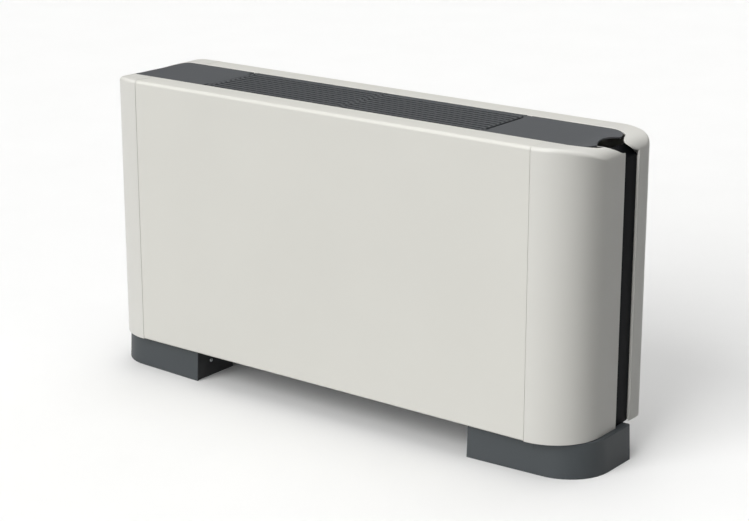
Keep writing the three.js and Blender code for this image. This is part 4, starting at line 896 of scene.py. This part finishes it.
# %% Netting on both faces of the filter
THREAD, THREAD_PITCH = 0.35, 2.6
NET_MARGIN = 8
NET_HEIGHTS = {"lower": 3.35, "upper": 4.65}  # of the threads, above the frame's underside
FILTER_LOW, FILTER_HIGH = (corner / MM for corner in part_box("air_filter"))
NET_CORNER = FILTER_LOW + Vector((NET_MARGIN, NET_MARGIN, 0))
SPAN_X, SPAN_Y = (FILTER_HIGH - FILTER_LOW).xy - Vector((2 * NET_MARGIN, 2 * NET_MARGIN))

net_tree, given = recipe(
    "filter_net",
    threads=2,
    run=(1.0, 0.0, 0.0),
    step=(0.0, 1.0, 0.0),
    first=(0.0, 0.0, 0.0),
    thread=THREAD * MM,
)
thread_line = add(net_tree, "GeometryNodeCurvePrimitiveLine", {"Start": (0, 0, 0), "End": given["run"]})
thread_size = {"Width": given["thread"], "Height": given["thread"]}
thread_section = add(net_tree, "GeometryNodeCurvePrimitiveQuadrilateral", thread_size)
thread = sweep(net_tree, thread_line.outputs[0], thread_section.outputs[0])
thread_places = {"Count": given["threads"], "Start Location": given["first"], "Offset": given["step"]}
starts = add(net_tree, "GeometryNodeMeshLine", thread_places).outputs[0]
serve(net_tree, given, [copies(net_tree, starts, thread)])

WAYS = {"long": ((SPAN_X, 0, 0), (0, 1, 0), SPAN_Y), "short": ((0, SPAN_Y, 0), (1, 0, 0), SPAN_X)}
for face, height in NET_HEIGHTS.items():
    for way, (run, step, length) in WAYS.items():
        step = Vector(step) * THREAD_PITCH * MM
        grown(
            f"filter_net_{face}_{way}",
            net_tree,
            "air_filter",
            FAN_PLASTIC,
            stands=False,
            threads=int(length / THREAD_PITCH),
            run=tuple(Vector(run) * MM),
            step=tuple(step),
            first=tuple((NET_CORNER + Vector((0, 0, height))) * MM + step / 2),
        )
print("net of", int(SPAN_Y / THREAD_PITCH), "by", int(SPAN_X / THREAD_PITCH), "threads")

# %% [markdown]
# ### Screws
#
# Sheet steel is held by pan head screws with a cross recess. One head is a flattened ball, less a cross
# of two small bars. The places of a group of screws are the points of a mesh, each with the direction
# that the head faces, and the recipe sets a head on every point.

# %% The screw's recipe
RECESS_LONG, RECESS_WIDE, RECESS_DEEP, RECESS_PLACE = 3.4, 0.8, 1.6, 2.1

screw_tree, given = recipe("pan_head_screws", radius=3.6 * MM, height=2.2 * MM)
ball = add(screw_tree, "GeometryNodeMeshUVSphere", {"Segments": 20, "Rings": 10, "Radius": given["radius"]})
sizes = {0: given["height"], 1: given["radius"]}
flatness = add(screw_tree, "ShaderNodeMath", sizes, operation="DIVIDE").outputs[0]
squeeze = add(screw_tree, "ShaderNodeCombineXYZ", {"X": 1.0, "Y": 1.0, "Z": flatness}).outputs[0]
dome = add(screw_tree, "GeometryNodeTransform", {0: ball.outputs[0], "Scale": squeeze}).outputs[0]
cross = add(screw_tree, "GeometryNodeJoinGeometry")
for size in ((RECESS_LONG, RECESS_WIDE, RECESS_DEEP), (RECESS_WIDE, RECESS_LONG, RECESS_DEEP)):
    arm = add(screw_tree, "GeometryNodeMeshCube", {"Size": Vector(size) * MM}).outputs[0]
    lift = (0, 0, RECESS_PLACE * MM)
    raised = add(screw_tree, "GeometryNodeTransform", {0: arm, "Translation": lift}).outputs[0]
    screw_tree.links.new(raised, cross.inputs[0])
head = add(
    screw_tree,
    "GeometryNodeMeshBoolean",
    {"Mesh 1": dome, "Mesh 2": cross.outputs[0], "Self Intersection": True},
    operation="DIFFERENCE",
    solver="EXACT",
)
facing = add(screw_tree, "GeometryNodeInputNamedAttribute", {"Name": "facing"}, data_type="FLOAT_VECTOR")
aim = add(screw_tree, "FunctionNodeAlignRotationToVector", {"Vector": facing.outputs[0]}, axis="Z")
heads = copies(screw_tree, given["points"], head.outputs[0], Rotation=aim.outputs[0])
serve(screw_tree, given, [heads])

# %% Set the screws
COVER_LOW, COVER_HIGH = (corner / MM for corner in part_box("control_cover"))
COVER_TOP = COVER_HIGH.z - 1.0
COVER_CORNERS = [(x, y, COVER_TOP) for x in (COVER_LOW.x + 7, COVER_HIGH.x - 7) for y in (-48, 48)]
FOOT_SCREW = Vector((292.6, -60, 28))
SCREWS = {
    "cover_screws": ("control_cover", (0, 0, 1), COVER_CORNERS),
    "right_foot_screws": ("right_foot_bracket", (-1, 0, 0), [FOOT_SCREW]),
    "left_foot_screws": ("left_foot_bracket", (1, 0, 0), [FOOT_SCREW * Vector((-1, 1, 1))]),
}
for name, (carrier, facing, points) in SCREWS.items():
    grown(name, screw_tree, carrier, BRIGHT_STEEL, stands=False, points=points, facing=facing)
print(sum(len(points) for _, _, points in SCREWS.values()), "screws")

# %% [markdown]
# ### Scales and ribs
#
# Small rings of equal bars remain. Each control knob points at a printed scale on the cover, and the fan
# motor's shell has low cooling ribs on both sides of its strap. One recipe serves them all: a bar, copied
# round an axis in equal steps.

# %% The ring's recipe
ring_tree, given = recipe(
    "ring_of_bars",
    bars=11,
    radius=0.02,
    begin=0.0,
    step=0.1,
    size=(0.001, 0.001, 0.001),
    lie=(0.0, 0.0, 0.0),
    middle=(0.0, 0.0, 0.0),
)
one = add(ring_tree, "GeometryNodeMeshCube", {"Size": given["size"]}).outputs[0]
out = add(ring_tree, "ShaderNodeCombineXYZ", {"X": given["radius"]}).outputs[0]
moved = add(ring_tree, "GeometryNodeTransform", {0: one, "Translation": out}).outputs[0]
crowd = add(ring_tree, "GeometryNodePoints", {"Count": given["bars"], "Position": (0, 0, 0)})
number = add(ring_tree, "GeometryNodeInputIndex").outputs[0]
sum_of_steps = {0: number, 1: given["step"], 2: given["begin"]}
turn = add(ring_tree, "ShaderNodeMath", sum_of_steps, operation="MULTIPLY_ADD").outputs[0]
about = add(ring_tree, "ShaderNodeCombineXYZ", {"Z": turn}).outputs[0]
ring = copies(ring_tree, crowd.outputs[0], moved, Rotation=about)
serve(ring_tree, given, [ring], Rotation=given["lie"], Translation=given["middle"])

# %% Scales on the cover and ribs on the motor
SCALE_RADIUS, SCALE_MARK, INK_LIFT = 19.6, (3, 0.7, 0.2), 0.05
SCALES = {"speed": (4, 120), "thermostat": (11, 270)}  # marks, and the knob's sweep in degrees
MOTOR_RIBS, RIB_RADIUS, RIB_SIZE, RIBS_MIDDLE = 36, 40.2, (1.6, 1.5, 22), 27.0
SCALE_INK = ripple("screen_printed_ink_white", "D8D8D4", "D0D0CC", 0.5, 0.005, 0.6, IOR=1.5)
for control, (marks, sweep) in SCALES.items():
    low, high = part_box(control + "_knob")
    middle = (low + high) / 2
    grown(
        control + "_scale",
        ring_tree,
        "control_cover",
        SCALE_INK,
        stands=False,
        bars=marks,
        radius=SCALE_RADIUS * MM,
        begin=math.radians(90),
        step=-math.radians(sweep / (marks - 1)),
        size=tuple(Vector(SCALE_MARK) * MM),
        middle=(middle.x, middle.y, (COVER_TOP + INK_LIFT) * MM),
    )
for side, x in (("right", RIBS_MIDDLE), ("left", -RIBS_MIDDLE)):
    grown(
        side + "_motor_ribs",
        ring_tree,
        "fan_motor",
        DARK_STEEL,
        stands=False,
        bars=MOTOR_RIBS,
        radius=RIB_RADIUS * MM,
        step=math.tau / MOTOR_RIBS,
        size=tuple(Vector(RIB_SIZE) * MM),
        lie=(0, math.pi / 2, 0),
        middle=(x * MM, 0.0, SHAFT_HEIGHT * MM),
    )
print("two scales and two rings of motor ribs")

# %% [markdown]
# ## Floor and light
#
# The photograph has a white ground and broad soft light from the front and above: the front is evenly
# lit, the top is as bright, and the round right end falls off smoothly to a mid grey. A wide lamp in
# front, weaker ones overhead and behind, and a dim, even room give that, with nothing coloured.

# %% Lay the floor
FLOOR_SPAN = 14.0
floor_mesh = bpy.data.meshes.new("floor")
corners = [(x * FLOOR_SPAN / 2, y * FLOOR_SPAN / 2, 0) for x, y in ((-1, -1), (1, -1), (1, 1), (-1, 1))]
floor_mesh.from_pydata(corners, [], [(0, 1, 2, 3)])
floor_mesh.materials.append(ripple("studio_floor_matt_white", "F6F6F5", "F3F3F2", 8.0, 0.01, 0.9))
floor = linked("floor", floor_mesh)
floor.visible_diffuse = False  # a white floor this close would light the round end from below
print("the floor is", FLOOR_SPAN, "m wide")

# %% [markdown]
# A pale shell far behind stands for the studio's seamless paper. It only shows behind the cabinet: it
# throws no light and no shadow, so the lamps alone shape the cabinet.

# %% Hang the paper
PAPER_GLOW = 0.88
paper_paint, tree, shader, spot = start("studio_paper_white", Roughness=1.0, Emission_Strength=PAPER_GLOW)
tone = add(tree, "ShaderNodeTexNoise", {"Vector": spot, "Scale": 0.1, "Detail": 1.0})
whites = {"Factor": tone.outputs["Fac"], 6: colour("FAFAF9"), 7: colour("F6F6F5")}
shade = add(tree, "ShaderNodeMix", whites, data_type="RGBA")
tree.links.new(shade.outputs[2], shader.inputs["Emission Color"])
form = bmesh.new()
bmesh.ops.create_icosphere(form, subdivisions=4, radius=2 * FLOOR_SPAN)
paper_mesh = bpy.data.meshes.new("studio_paper")
form.to_mesh(paper_mesh)
form.free()
paper_mesh.materials.append(paper_paint)
paper = linked("studio_paper", paper_mesh)
paper.visible_diffuse = paper.visible_glossy = paper.visible_transmission = paper.visible_shadow = False
print("the paper stands", 2 * FLOOR_SPAN, "m off")


# %% Hang the lamps
def wide_lamp(name, azimuth, elevation, spread, strength):
    """A far, wide lamp: it lights all of the cabinet alike, and its spread, in degrees, softens shadows."""
    data = bpy.data.lights.new(name, "SUN")
    data.angle, data.energy = math.radians(spread), strength
    a, e = math.radians(azimuth), math.radians(elevation)
    back = Vector((math.sin(a) * math.cos(e), -math.cos(a) * math.cos(e), math.sin(e)))
    linked(name, data).rotation_euler = (-back).to_track_quat("-Z", "Y").to_euler()


ROOM_STRENGTH = 0.16
wide_lamp("key_lamp", azimuth=-8, elevation=30, spread=50, strength=2.75)
wide_lamp("top_lamp", azimuth=0, elevation=85, spread=60, strength=1.0)
wide_lamp("back_lamp", azimuth=192, elevation=55, spread=50, strength=0.7)
world = bpy.data.worlds.new("bright_room")
world.use_nodes = True
room = world.node_tree.nodes["Background"].inputs
room["Color"].default_value, room["Strength"].default_value = (1, 1, 1, 1), ROOM_STRENGTH
bpy.context.scene.world = world
bpy.context.scene.view_settings.view_transform = "Standard"
print("three wide lamps and a dim, even room")
